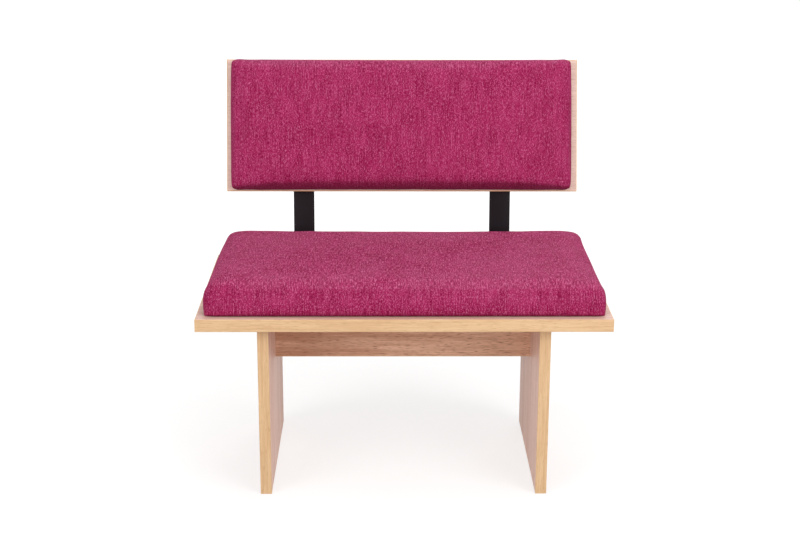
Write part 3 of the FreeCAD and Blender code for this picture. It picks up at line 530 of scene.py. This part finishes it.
class Stock:
    """The finishes of this bench, each made once."""

    def __init__(self) -> None:
        """Mix every finish."""
        edge = {"light": srgb(234, 197, 154), "dark": srgb(218, 176, 132), "pore": srgb(188, 140, 98)}
        self.edges = {
            way: Oak(f"oak_edge_{way.value}", grain=way, figure=0.5, **edge).material() for way in Grain
        }
        # Painted light and shade: the boards are one oak, but each has its own tones for the light that
        # falls on it. The legs and the backrest are paler, and the stretcher in the shade under the seat is
        # paler and more orange.
        board_tones_for_their_light = {
            "seat": (srgb(226, 193, 177), srgb(206, 166, 148), srgb(170, 122, 102), Grain.ACROSS, 0.9),
            "leg": (srgb(238, 203, 187), srgb(222, 180, 163), srgb(184, 134, 115), Grain.UPRIGHT, 0.9),
            "backrest": (srgb(240, 212, 198), srgb(229, 197, 182), srgb(196, 152, 133), Grain.ACROSS, 0.6),
        }
        # The stretcher's tones, paler and more orange than the seat's: painted light and warm bounce in its
        # shade.
        figured_with_painted_light = srgb(240, 194, 164), srgb(206, 152, 122), srgb(156, 98, 72)
        board_tones_for_their_light["stretcher"] = (*figured_with_painted_light, Grain.ACROSS, 1.5, 0.9)
        self.boards = {name: Oak(f"oak_{name}", *tone).material() for name, tone in board_tones_for_their_light.items()}
        plies = srgb(214, 184, 140), srgb(190, 154, 108), srgb(150, 110, 70)
        self.plywood = Oak("plywood", *plies, Grain.ACROSS).material()
        pegs = srgb(222, 184, 140), srgb(204, 160, 116), srgb(172, 124, 86)
        self.beech = Oak("beech", *pegs, Grain.UPRIGHT, figure=0.3).material()
        self.metals = {
            "black_steel": PowderCoat("black_steel", srgb(17, 9, 15)).material(),
            "zinc_steel": Plated("zinc_steel", srgb(196, 198, 200)).material(),
        }
        self.foam = Foam("foam", srgb(232, 214, 160)).material()


def coat(mesh: Mesh, material: Material) -> None:
    """Give a mesh one finish."""
    mesh.materials.clear()
    mesh.materials.append(material)


def dress(node: str, material: Material) -> None:
    """Give a CAD node its finish."""
    coat(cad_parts[node].data, material)
    LOG.info("%s dressed in %s", node, material.name)


def stand_in(piece: Object, slot: str, *nodes: str) -> None:
    """Let a built piece stand for CAD nodes.

    Args:
        piece: The piece.
        slot: Not used.
        nodes: The nodes that it stands for.
    """
    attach(piece, BODY)
    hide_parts(*nodes)
    LOG.info("%s built for %s", piece.name, ", ".join(nodes))


def show(name: str, data: ID) -> Object:
    """Put something in the scene.

    Args:
        name: Its name.
        data: Its mesh, camera or lamp.

    Returns:
        The new object.
    """
    thing = bpy.data.objects.new(name, data)
    bpy.context.scene.collection.objects.link(thing)
    return thing


def new_piece(name: str, mesh: Mesh, material: Material) -> Object:
    """Put a mesh in the scene under a name and with a finish, and return the new piece."""
    coat(mesh, material)
    return show(name, mesh)


def loft(rings: list[list[Vector]], into: bmesh.types.BMesh) -> None:
    """Skin a row of rings of equal count, and close both ends.

    Args:
        rings: The rings, each a closed loop of points.
        into: The mesh to add to.
    """
    loops = [[into.verts.new(point) for point in ring] for ring in rings]
    count = len(rings[0])
    for low, high in zip(loops, loops[1:]):
        for index in range(count):
            after = (index + 1) % count
            into.faces.new((low[index], low[after], high[after], high[index]))
    into.faces.new(list(reversed(loops[0])))
    into.faces.new(loops[-1])


def finish_mesh(name: str, shape: bmesh.types.BMesh, sharp: float = 35.0) -> Mesh:
    """Turn a drawn shape into a mesh with smooth faces and sharp edges.

    Args:
        name: The mesh's name.
        shape: The drawn shape, which is freed.
        sharp: The angle in degrees from which an edge stays sharp.

    Returns:
        The mesh.
    """
    bmesh.ops.recalc_face_normals(shape, faces=shape.faces)
    for face in shape.faces:
        face.smooth = True
    for edge in shape.edges:
        edge.smooth = edge.calc_face_angle(0) < math.radians(sharp)
    mesh = bpy.data.meshes.new(name)
    shape.to_mesh(mesh)
    shape.free()
    return mesh


@dataclass
class Assembly:
    """A part of the bench, with the stock that its finishes come from."""

    stock: Stock


@dataclass
class Panels(Assembly):
    """The seat, the legs, the stretcher and the backrest with their edge bands, all CAD nodes."""

    boards: dict[str, str] = field(
        default_factory=lambda: {
            "seat_board": "seat",
            "leg_left": "leg",
            "leg_right": "leg",
            "stretcher": "stretcher",
            "backrest_board": "backrest",
        }
    )

    def band_grain(self, node: str) -> Grain:
        """Return the way that a band runs, which is its longest side."""
        low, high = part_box(node)
        return max(zip(Grain, low, high), key=lambda side: side[2] - side[1])[0]

    def dress(self) -> None:
        """Give each panel and band its finish."""
        for node, board in self.boards.items():
            dress(node, self.stock.boards[board])
        for node in sorted(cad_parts):
            if "_band_" in node:
                dress(node, self.stock.edges[self.band_grain(node)])


@dataclass
class Hidden(Assembly):
    """The pieces inside the bench, all CAD nodes."""

    zinc: tuple[str, ...] = ("panel_screws", "stretcher_cam_bolts", "bar_foot_tee_nuts", "bar_head_tee_nuts")
    beech: tuple[str, ...] = ("leg_dowels", "stretcher_dowels")
    plywood: tuple[str, ...] = ("seat_pad_board", "back_pad_board")

    def dress(self) -> None:
        """Give each hidden piece its finish."""
        zinc = self.stock.metals["zinc_steel"]
        finishes = ((self.zinc, zinc), (self.beech, self.stock.beech), (self.plywood, self.stock.plywood))
        for nodes, material in finishes:
            for node in nodes:
                dress(node, material)


@dataclass
class Lean:
    """The leaning frame of the backrest: across, up and out of its panel."""

    angle: float = 15.5
    lower_edge: Pair = (0.21837, 0.57661)

    def matrix(self, up: float, out: float) -> Matrix:
        """Return the place of a frame whose Z points out of the backrest.

        Args:
            up: The distance up the panel from its lower edge.
            out: The distance out from its rear face.

        Returns:
            The placement.
        """
        lean = math.radians(self.angle)
        y = self.lower_edge[0] + up * math.sin(lean) - out * math.cos(lean)
        z = self.lower_edge[1] + up * math.cos(lean) + out * math.sin(lean)
        return Matrix.Translation((0, y, z)) @ Matrix.Rotation(math.pi / 2 - lean, 4, "X")


@dataclass
class Bars(Assembly):
    """The two bent flat bars that carry the backrest."""

    width: float = 0.050
    thickness: float = 0.008
    edge_radius: float = 0.0011
    corner_radius: float = 0.006
    bend_radius: float = 0.008
    foot_length: float = 0.200
    riser_length: float = 0.196
    head_length: float = 0.280
    riser_lean: float = 5.5
    head_lean: float = 15.5
    x: float = 0.239
    corner: Pair = (0.203322, 0.395)
    slot: str = "black_steel"

    def path(self) -> list[tuple[Vector, Vector]]:
        """Return the line of the inner face as points and directions in the YZ plane.

        Returns:
            Each point with the direction of the line there.
        """
        riser, head = math.radians(self.riser_lean), math.radians(self.head_lean)
        up, back = Vector((math.sin(riser), math.cos(riser))), Vector((math.sin(head), math.cos(head)))
        outer = self.bend_radius + self.thickness
        foot_cut = self.bend_radius * math.tan((math.pi / 2 - riser) / 2)
        head_cut = outer * math.tan((head - riser) / 2)
        bend = up * self.riser_length
        line = [(Vector((-self.foot_length, 0)), Vector((1, 0)))]
        for step in range(9):
            turn = (math.pi / 2 - riser) * step / 8
            centre = Vector((-foot_cut, self.bend_radius))
            spot = centre + self.bend_radius * Vector((math.sin(turn), -math.cos(turn)))
            line.append((spot, Vector((math.cos(turn), math.sin(turn)))))
        for step in range(5):
            turn = riser + (head - riser) * step / 4
            centre = bend - up * head_cut + outer * Vector((math.cos(riser), -math.sin(riser)))
            spot = centre + outer * Vector((-math.cos(turn), math.sin(turn)))
            line.append((spot, Vector((math.sin(turn), math.cos(turn)))))
        line.append((bend + back * self.head_length, back))
        return line

    def stations(self) -> list[tuple[Vector, Vector, float, float]]:
        """Return where the section is drawn, with the rounded ends.

        Returns:
            Each point, direction, half width and inset of the section.
        """
        line = self.path()
        half, corner, edge = self.width / 2, self.corner_radius, self.edge_radius
        ends = [(0.0, half - corner - edge, edge)]
        for step in range(1, 7):
            angle = math.pi / 2 * step / 6
            run, cut = corner * (1 - math.cos(angle)), corner * (1 - math.sin(angle))
            ends.append((max(edge, run), half - cut, 0.0))
        (first, first_way), (last, last_way) = line[0], line[-1]
        start = [(first + first_way * run, first_way, wide, inset) for run, wide, inset in ends]
        finish = [(last - last_way * run, last_way, wide, inset) for run, wide, inset in reversed(ends)]
        return start + [(spot, way, half, 0.0) for spot, way in line[1:-1]] + finish

    def section(self, spot: Vector, way: Vector, half: float, inset: float) -> list[Vector]:
        """Return one rounded section of a bar.

        Args:
            spot: The point of the inner face in the YZ plane.
            way: The direction of the bar there.
            half: Half the width.
            inset: How far the section is drawn in all round.

        Returns:
            The section's points about X = 0.
        """
        outward = Vector((way.y, -way.x))
        radius = self.edge_radius - 0.6 * inset
        low, high = inset + radius, self.thickness - inset - radius
        points = []
        for quarter, (across, out) in enumerate(((1, low), (1, high), (-1, high), (-1, low))):
            for step in range(4):
                angle = math.pi / 2 * (quarter - 1 + step / 3)
                x = across * (half - radius) + radius * math.cos(angle)
                flat = spot + outward * (out + radius * math.sin(angle))
                points.append(Vector((x, self.corner[0] + flat.x, self.corner[1] + flat.y)))
        return points

    def build(self) -> None:
        """Build both bars."""
        sections = [self.section(*station) for station in self.stations()]
        for side, name in ((-1, "left"), (1, "right")):
            shape = bmesh.new()
            loft([[point + Vector((side * self.x, 0, 0)) for point in ring] for ring in sections], shape)
            mesh = finish_mesh(f"bar_{name}_rounded", shape)
            piece = new_piece(f"bar_{name}_rounded", mesh, self.stock.metals[self.slot])
            stand_in(piece, self.slot, f"back_bar_{name}")


@dataclass
class Fastener(Assembly):
    """A turned fastener with a recess in its head, at several places."""

    name: str
    node: str
    slot: str
    recess: Recess
    reach: float
    depth: float
    profile: Profile
    places: list[Matrix]
    mouth: float = 1.06
    bottom: float = 0.86
    lip: float = 0.0003
    sharp: float = 28.0
    segments: int = 48

    def angles(self) -> list[float]:
        """Return the angles round the axis at which each ring has its points."""
        return [2 * math.pi * index / self.segments for index in range(self.segments)]

    def ring(self, radii: list[float], height: float) -> list[Vector]:
        """Return one ring at a height, from its radius at each angle."""
        pairs = zip(radii, self.angles())
        return [Vector((radius * math.cos(turn), radius * math.sin(turn), height)) for radius, turn in pairs]

    def build(self) -> None:
        """Build the fastener at all its places as one piece."""
        shape = bmesh.new()
        top = self.profile[-1][1]
        hole = [self.recess.radius(angle, self.reach) for angle in self.angles()]
        rings = [self.ring([radius] * self.segments, height) for radius, height in self.profile]
        for share, drop in ((self.mouth, 0.0), (1.0, self.lip), (self.bottom, self.depth)):
            rings.append(self.ring([share * radius for radius in hole], top - drop))
        for place in self.places:
            loft([[place @ point for point in ring] for ring in rings], shape)
        mesh = finish_mesh(self.name, shape, self.sharp)
        stand_in(new_piece(self.name, mesh, self.stock.metals[self.slot]), self.slot, self.node)


def dome(radius: float, crown: float, rim: float, height: float) -> Profile:
    """Return the profile of a round head, from its rim up to its flat crown at its height."""
    turns = [math.pi / 2 * step / 6 for step in range(7)]
    return tuple(
        (crown + (radius - crown) * math.cos(turn), rim + (height - rim) * math.sin(turn)) for turn in turns
    )


@dataclass
class Fasteners(Assembly):
    """The fasteners whose heads are seen from below and from behind."""

    lean: Lean = field(default_factory=Lean)
    under_seat: float = 0.395
    bar_x: float = 0.239
    bar_thickness: float = 0.008
    foot_rows: Pair = (0.028322, 0.148322)
    head_rows: Pair = (0.054, 0.254)
    seat_middle: float = -0.054644
    seat_reach: Pair = (0.379, 0.174)
    back_middle: float = 0.161
    back_reach: Pair = (0.3555, 0.097)
    cam: Point = (0.261, -0.042144, 0.324)
    drum: Profile = (
        (0.0070, -0.016),
        (0.0074, -0.0156),
        (0.0074, -0.0004),
        (0.0070, 0.0),
        (0.0058, 0.0),
        (0.0054, -0.0004),
    )

    def bolt(self, length: float) -> Profile:
        """Return the profile of a round-headed bolt of a length below its head."""
        shank = ((0.0028, -length), (0.0039, 0.0012 - length), (0.0039, 0.0), (0.0066, 0.0), (0.007, 0.0003))
        return (*shank, *dome(0.007, 0.0041, 0.0012, 0.0044))

    def screw(self, length: float) -> Profile:
        """Return the profile of a round-headed wood screw of a length below its head."""
        shank = ((0.0004, -length), (0.0021, 0.004 - length), (0.0021, 0.0), (0.0043, 0.0))
        return (*shank, *dome(0.0045, 0.0026, 0.0004, 0.0026))

    def on_bars(self, rows: Pair) -> list[Pair]:
        """Return a spot on both bars in each row."""
        return [(side * self.bar_x, row) for side in SIDES for row in rows]

    def around(self, middle: float, reach: Pair) -> list[Pair]:
        """Return the four spots at a reach across and along from a middle."""
        return [(side * reach[0], middle + way * reach[1]) for side in SIDES for way in SIDES]

    def below(self, spots: list[Pair], height: float) -> list[Matrix]:
        """Return places that face down from a height, at spots as seen from above."""
        down = Matrix.Rotation(math.pi, 4, "X")
        return [Matrix.Translation((x, y, height)) @ down for x, y in spots]

    def behind(self, spots: list[Pair], out: float) -> list[Matrix]:
        """Return places that face the rear, at spots across and up the backrest and out of its rear face."""
        back = Matrix.Rotation(math.pi, 4, "X")
        return [Matrix.Translation((x, 0, 0)) @ self.lean.matrix(up, out) @ back for x, up in spots]

    def build(self) -> None:
        """Build all of them."""
        # The slot of each kind's finish, its recess, and how wide and deep that reaches.
        bolt = ("black_steel", Recess.HEXAGON, 0.0025, 0.0028)
        screw = ("zinc_steel", Recess.CROSS, 0.0024, 0.0014)
        slotted = ("zinc_steel", Recess.SLOT, 0.0045, 0.002)
        feet = self.below(self.on_bars(self.foot_rows), self.under_seat - self.bar_thickness)
        heads = self.behind(self.on_bars(self.head_rows), -self.bar_thickness)
        seat = self.below(self.around(self.seat_middle, self.seat_reach), self.under_seat)
        back = self.behind(self.around(self.back_middle, self.back_reach), 0)
        x, y, z = self.cam
        to_rear = Matrix.Rotation(-math.pi / 2, 4, "X")
        cams = [Matrix.Translation((side * x, y, z)) @ to_rear for side in SIDES]
        for row in (
            ("foot_bolts_turned", "bar_foot_bolts", *bolt, self.bolt(0.030), feet),
            ("head_bolts_turned", "bar_head_bolts", *bolt, self.bolt(0.027), heads),
            ("seat_screws_turned", "seat_pad_screws", *screw, self.screw(0.040), seat),
            ("back_screws_turned", "back_pad_screws", *screw, self.screw(0.035), back),
            ("cams_turned", "stretcher_cams", *slotted, self.drum, cams),
        ):
            Fastener(self.stock, *row).build()


@dataclass
class Pad(Assembly):
    """An upholstered pad: a cover drawn over foam, with its base on a panel."""

    name: str
    half_x: float
    half_y: float
    height: float
    widest: float
    shoulder: float
    crown: float
    corners: Pair
    place: Matrix
    bulge: float = 0.005
    tuck: float = 0.005
    spread: float = 0.2
    waist: float = 0.0
    corner_lift: float = 0.0
    droop: float = 0.0
    droop_from: float = 0.7
    droop_over: float = 0.3
    uneven: float = 0.0008
    lumps: float = 13.0
    left_taper: float = 0.0
    crease: float = 0.0
    crease_height: float = 0.049
    crease_width: float = 0.008
    most_swell: float = 0.006
    most_pull: float = 0.003
    held_height: float = 0.004
    base_gap: float = 0.0002
    crown_clear: float = 0.03
    voxel: float = 0.008
    pressure: float = 1.0
    cloth_mass: float = 0.3
    frames: int = 20
    slot: str = "magenta_fabric"

    def ring(self, growth: float, height: float) -> list[Vector]:
        """Return one level section with round corners.

        Args:
            growth: How far it stands out past the base.
            height: Its height over the panel.

        Returns:
            The ring's points.
        """
        low, high = self.corners
        radius = low + (high - low) * min(1.0, max(0.0, height / self.widest))
        if height > self.widest:
            radius += self.spread * (self.bulge - growth)
        points = []
        for quarter, (across, along) in enumerate(((1, 1), (-1, 1), (-1, -1), (1, -1))):
            centre_x = across * (self.half_x + growth - radius)
            centre_y = along * (self.half_y + growth - radius)
            for step in range(9):
                angle = math.pi / 2 * (quarter + step / 8)
                x, y = centre_x + radius * math.cos(angle), centre_y + radius * math.sin(angle)
                points.append(Vector((x, y, height)))
        return points

    def levels(self) -> list[Pair]:
        """Return the growth and height of each section, from below the base to the crown.

        Returns:
            Pairs of (growth, height).
        """
        top = self.height - self.crown
        base = self.bulge - self.tuck
        swell = [(base, -self.voxel)]
        for step in range(5):
            growth = base + self.tuck * math.sin(math.pi / 2 * step / 5)
            swell.append((growth, self.widest * step / 5))
        round_over = []
        for step in range(9):
            angle = math.pi / 2 * step / 8
            growth = self.bulge - self.shoulder * (1 - math.cos(angle))
            round_over.append((growth, self.widest + (top - self.widest) * math.sin(angle)))
        edge = self.bulge - self.shoulder
        reach = min(self.half_x, self.half_y) - self.crown_clear
        crown = 0.0
        rise = []
        for step in range(1, 9):
            growth = edge - reach * (step / 8) ** 1.5
            rise.append((growth, top + crown * math.sin(math.pi / 2 * step / 8)))
        return swell + round_over + rise

    def form(self) -> Object:
        """Build the pad's slack form in a mesh of even squares.

        Returns:
            The form, in the pad's own frame.
        """
        shape = bmesh.new()
        loft([self.ring(growth, height) for growth, height in self.levels()], shape)
        rough = show(f"{self.name}_rough", finish_mesh(f"{self.name}_rough", shape))
        remesh = rough.modifiers.new("even", "REMESH")
        remesh.mode = "VOXEL"
        remesh.voxel_size = self.voxel
        piece = show(self.name, self.settled(rough))
        bpy.data.objects.remove(rough)
        return piece

    def settled(self, piece: Object) -> Mesh:
        """Return a new mesh of a piece with its modifiers worked in."""
        graph = bpy.context.evaluated_depsgraph_get()
        return bpy.data.meshes.new_from_object(piece.evaluated_get(graph))

    def points(self, mesh: Mesh) -> np.ndarray:
        """Return where each point of a mesh is."""
        return np.array([vertex.co for vertex in mesh.vertices])

    def facing(self, mesh: Mesh) -> np.ndarray:
        """Return the way that a mesh faces at each point."""
        return np.array([vertex.normal for vertex in mesh.vertices])

    def move(self, mesh: Mesh, points: np.ndarray) -> None:
        """Move a mesh's points."""
        mesh.vertices.foreach_set("co", points.ravel())
        mesh.update()

    def swell(self, piece: Object) -> None:
        """Blow the slack form up as cloth that is held along its base.

        The foam inside lets the cover sink in only a little, and its cut caps how far it swells.

        Args:
            piece: The pad's form.
        """
        before, facing = self.points(piece.data), self.facing(piece.data)
        held = piece.vertex_groups.new(name="held")
        held.add(np.nonzero(before[:, 2] < self.held_height)[0].tolist(), 1.0, "REPLACE")
        cloth = piece.modifiers.new("cloth", "CLOTH")
        settings = cloth.settings
        settings.quality = 4
        settings.mass = self.cloth_mass
        settings.use_pressure = True
        settings.uniform_pressure_force = self.pressure
        settings.vertex_group_mass = "held"
        settings.effector_weights.gravity = 0.0
        cloth.point_cache.frame_start = 1
        cloth.point_cache.frame_end = self.frames
        for frame in range(1, self.frames + 1):
            bpy.context.scene.frame_set(frame)
        after = self.points(self.settled(piece))
        piece.modifiers.clear()
        bpy.context.scene.frame_set(1)
        outward = np.sum((after - before) * facing, axis=1, keepdims=True)
        LOG.info("%s swells by %.1f mm at most", self.name, 1000 * outward.max())
        cap = np.where(outward > 0, self.most_swell, self.most_pull)
        self.move(piece.data, before + facing * cap * np.tanh(outward / cap))

    def seat(self, piece: Object) -> None:
        """Draw the sides in between the corners, shape the corners and lower edge, flatten the underside.

        Args:
            piece: The pad.
        """
        points, facing = self.points(piece.data), self.facing(piece.data)
        out = points[:, :2] / (self.half_x, self.half_y)
        rise = np.clip(points[:, 2] / self.widest, 0, 1)
        lumps = np.array([noise.noise(Vector(point) * self.lumps) for point in points])
        points += facing * (self.uneven * rise * lumps)[:, None]
        points[:, 2] = np.maximum(points[:, 2], self.base_gap)
        for axis, across in ((0, 1), (1, 0)):
            between = np.clip(1 - out[:, across] ** 2, 0, 1)
            way, far = np.sign(out[:, axis]), np.abs(out[:, axis])
            points[:, axis] -= self.waist * rise * between * way * far**8
        points[:, 2] += self.corner_lift * rise * np.clip(out[:, 0] * out[:, 1], -1, 1) ** 2
        lower = np.clip((-out[:, 1] - self.droop_from) / self.droop_over, 0, 1)
        points[:, 2] -= self.droop * rise * lower**2
        rearward, leftward = np.clip(out[:, 1] / 2 + 0.5, 0, 1), np.clip(-out[:, 0], 0, 1)
        points[:, 0] += self.left_taper * rise**2 * rearward**5 * leftward**6
        self.move(piece.data, points)

    def press(self, piece: Object) -> None:
        """Press a soft level line into the front, where the cover turns over the edge of the foam.

        Args:
            piece: The pad.
        """
        points, facing = self.points(piece.data), self.facing(piece.data)
        depth = self.crease * np.exp(-(((points[:, 2] - self.crease_height) / self.crease_width) ** 2))
        depth *= np.clip(-facing[:, 1], 0, 1)
        self.move(piece.data, points - facing * depth[:, None])

    def cloth(self) -> Melange:
        """Return the finish of the cover, whose weave follows this pad's height."""
        return Melange(f"{self.slot}_{self.name}", self.height)

    def build(self) -> None:
        """Build the pad and let it stand for its cover and foam."""
        piece = self.form()
        self.swell(piece)
        self.seat(piece)
        smooth = piece.modifiers.new("finer", "SUBSURF")
        smooth.levels = smooth.render_levels = 1
        piece.data = self.settled(piece)
        piece.modifiers.clear()
        self.press(piece)
        for face in piece.data.polygons:
            face.use_smooth = True
        piece.data.name = self.name
        coat(piece.data, self.cloth().material())
        piece.matrix_world = self.place
        node = self.name.replace("_upholstered", "")
        dress(f"{node}_foam", self.stock.foam)
        stand_in(piece, self.slot, f"{node}_cover", f"{node}_foam")


@dataclass
class Viewpoint:
    """Where the bench is looked at from."""

    place: Point = (-0.0455, -3.42713, 1.4759)
    pitch: float = 16.666
    yaw: float = -0.649
    roll: float = -0.184
    focal_pixels: float = 1538.0
    frame_width: int = 800
    sensor_width: float = 36.0

    def build(self) -> None:
        """Set the camera up."""
        pitch, yaw, roll = (math.radians(angle) for angle in (self.pitch, self.yaw, self.roll))
        flat = math.cos(pitch)
        forward = Vector((-math.sin(yaw) * flat, math.cos(yaw) * flat, -math.sin(pitch)))
        level = Vector((math.cos(yaw), math.sin(yaw), 0))
        drop = forward.cross(level)
        right = math.cos(roll) * level + math.sin(roll) * drop
        down = math.cos(roll) * drop - math.sin(roll) * level
        data = bpy.data.cameras.new("camera")
        data.sensor_fit = "HORIZONTAL"
        data.sensor_width = self.sensor_width
        data.lens = self.focal_pixels / self.frame_width * self.sensor_width
        camera = show("camera", data)
        turn = Matrix((right, -down, -forward)).transposed().to_4x4()
        camera.matrix_world = Matrix.Translation(self.place) @ turn
        bpy.context.scene.camera = camera


@dataclass
class Studio:
    """A pale floor, a white room and soft lamps."""

    ambient: float = 0.32
    floor_size: float = 40.0
    floor_glow: float = 0.66
    floor_grey: float = 0.42
    floor_pale: float = 0.56
    floor_drop: float = 0.0005
    clear_of: Pair = (1.1, 3.6)
    aim: Point = (0, 0, 0.5)
    lamps: tuple[tuple[str, Point, float, float], ...] = (
        ("key", (2.5, -2.5, 1.75), 2.4, 73.0),
        ("fill", (-2.5, -2.5, 1.75), 2.4, 60.0),
        ("top", (0.2, -0.3, 3.3), 2.6, 36.0),
        ("rear", (0.4, 2.8, 2.6), 2.4, 38.0),
    )

    def seen(self, graph: Graph) -> NodeSocket:
        """Tell what is looked at from what only lights the bench.

        Args:
            graph: The graph to draw in.

        Returns:
            1 for what the camera, a mirror or a glass sees, and 0 for light.
        """
        path = graph.add("ShaderNodeLightPath").outputs
        mirrored = graph.math("MAXIMUM", path["Is Glossy Ray"], path["Is Transmission Ray"])
        return graph.math("MAXIMUM", path["Is Camera Ray"], mirrored)

    def build_world(self) -> None:
        """Light the room evenly and show it white."""
        world = bpy.data.worlds.new("room")
        world.use_nodes = True
        bpy.context.scene.world = world
        graph = Graph(world.node_tree)
        lift = graph.math("MULTIPLY", self.seen(graph), 1 - self.ambient)
        strength = graph.math("ADD", lift, self.ambient)
        graph.fill(world.node_tree.nodes["Background"], {"Color": WHITE, "Strength": strength})

    def build_floor(self) -> None:
        """Lay the floor: white to look at, with the bench's shadow kept close by."""
        half = self.floor_size / 2
        mesh = bpy.data.meshes.new("floor")
        corners = [(-half, -half, 0), (half, -half, 0), (half, half, 0), (-half, half, 0)]
        mesh.from_pydata(corners, [], [(0, 1, 2, 3)])
        material = bpy.data.materials.new("floor")
        material.use_nodes = True
        nodes = material.node_tree.nodes
        nodes.remove(nodes["Principled BSDF"])
        graph = Graph(material.node_tree)
        seen = self.seen(graph)
        pale, grey = (self.floor_pale,) * 3, (self.floor_grey,) * 3
        matt = graph.add("ShaderNodeBsdfDiffuse", {"Color": graph.mix(seen, (*pale, 1), (*grey, 1))})
        away = graph.add("ShaderNodeVectorMath", {0: graph.here()}, operation="LENGTH").outputs["Value"]
        strength = graph.math("MULTIPLY", seen, graph.ease(away, *self.clear_of, self.floor_glow, 1.0))
        glow = graph.add("ShaderNodeEmission", {"Color": WHITE, "Strength": strength})
        both = graph.add("ShaderNodeAddShader", {0: matt.outputs[0], 1: glow.outputs[0]})
        graph.fill(nodes["Material Output"], {"Surface": both.outputs[0]})
        floor = new_piece("floor", mesh, material)
        floor.location.z = -self.floor_drop

    def build_lamps(self) -> None:
        """Hang the soft lamps, each turned to the middle of the bench."""
        for name, place, size, power in self.lamps:
            data = bpy.data.lights.new(name, "AREA")
            data.shape = "SQUARE"
            data.size = size
            data.energy = power
            lamp = show(name, data)
            lamp.location = place
            way = Vector(self.aim) - Vector(place)
            lamp.rotation_euler = way.to_track_quat("-Z", "Y").to_euler()

    def build(self) -> None:
        """Set the room up."""
        bpy.context.scene.view_settings.view_transform = "Standard"
        self.build_world()
        self.build_floor()
        self.build_lamps()


def main() -> None:
    """Build the bench's looks, piece by piece."""
    logging.basicConfig(level=logging.INFO, format="%(name)s: %(message)s")
    stock = Stock()
    lean = Lean()
    Viewpoint().build()
    Studio().build()
    Panels(stock).dress()
    Hidden(stock).dress()
    Bars(stock).build()
    Fasteners(stock, lean).build()
    Pad(
        stock,
        "seat_pad_upholstered",
        half_x=0.4312,
        half_y=0.229,
        height=0.073,
        widest=0.037,
        shoulder=0.026,
        crown=0.004,
        corners=(0.012, 0.021),
        tuck=0.0025,
        left_taper=0.011,
        corner_lift=0.003,
        crease=0.0028,
        place=Matrix.Translation((0.001, -0.054644, 0.423)),
    ).build()
    Pad(
        stock,
        "back_pad_upholstered",
        half_x=0.4062,
        half_y=0.1548,
        height=0.040,
        widest=0.020,
        shoulder=0.018,
        crown=0.003,
        corners=(0.012, 0.016),
        waist=0.0025,
        droop=0.0055,
        place=Matrix.Translation((-0.002, 0, 0)) @ lean.matrix(0.160, 0.025),
    ).build()


if __name__ == "__main__":
    main()
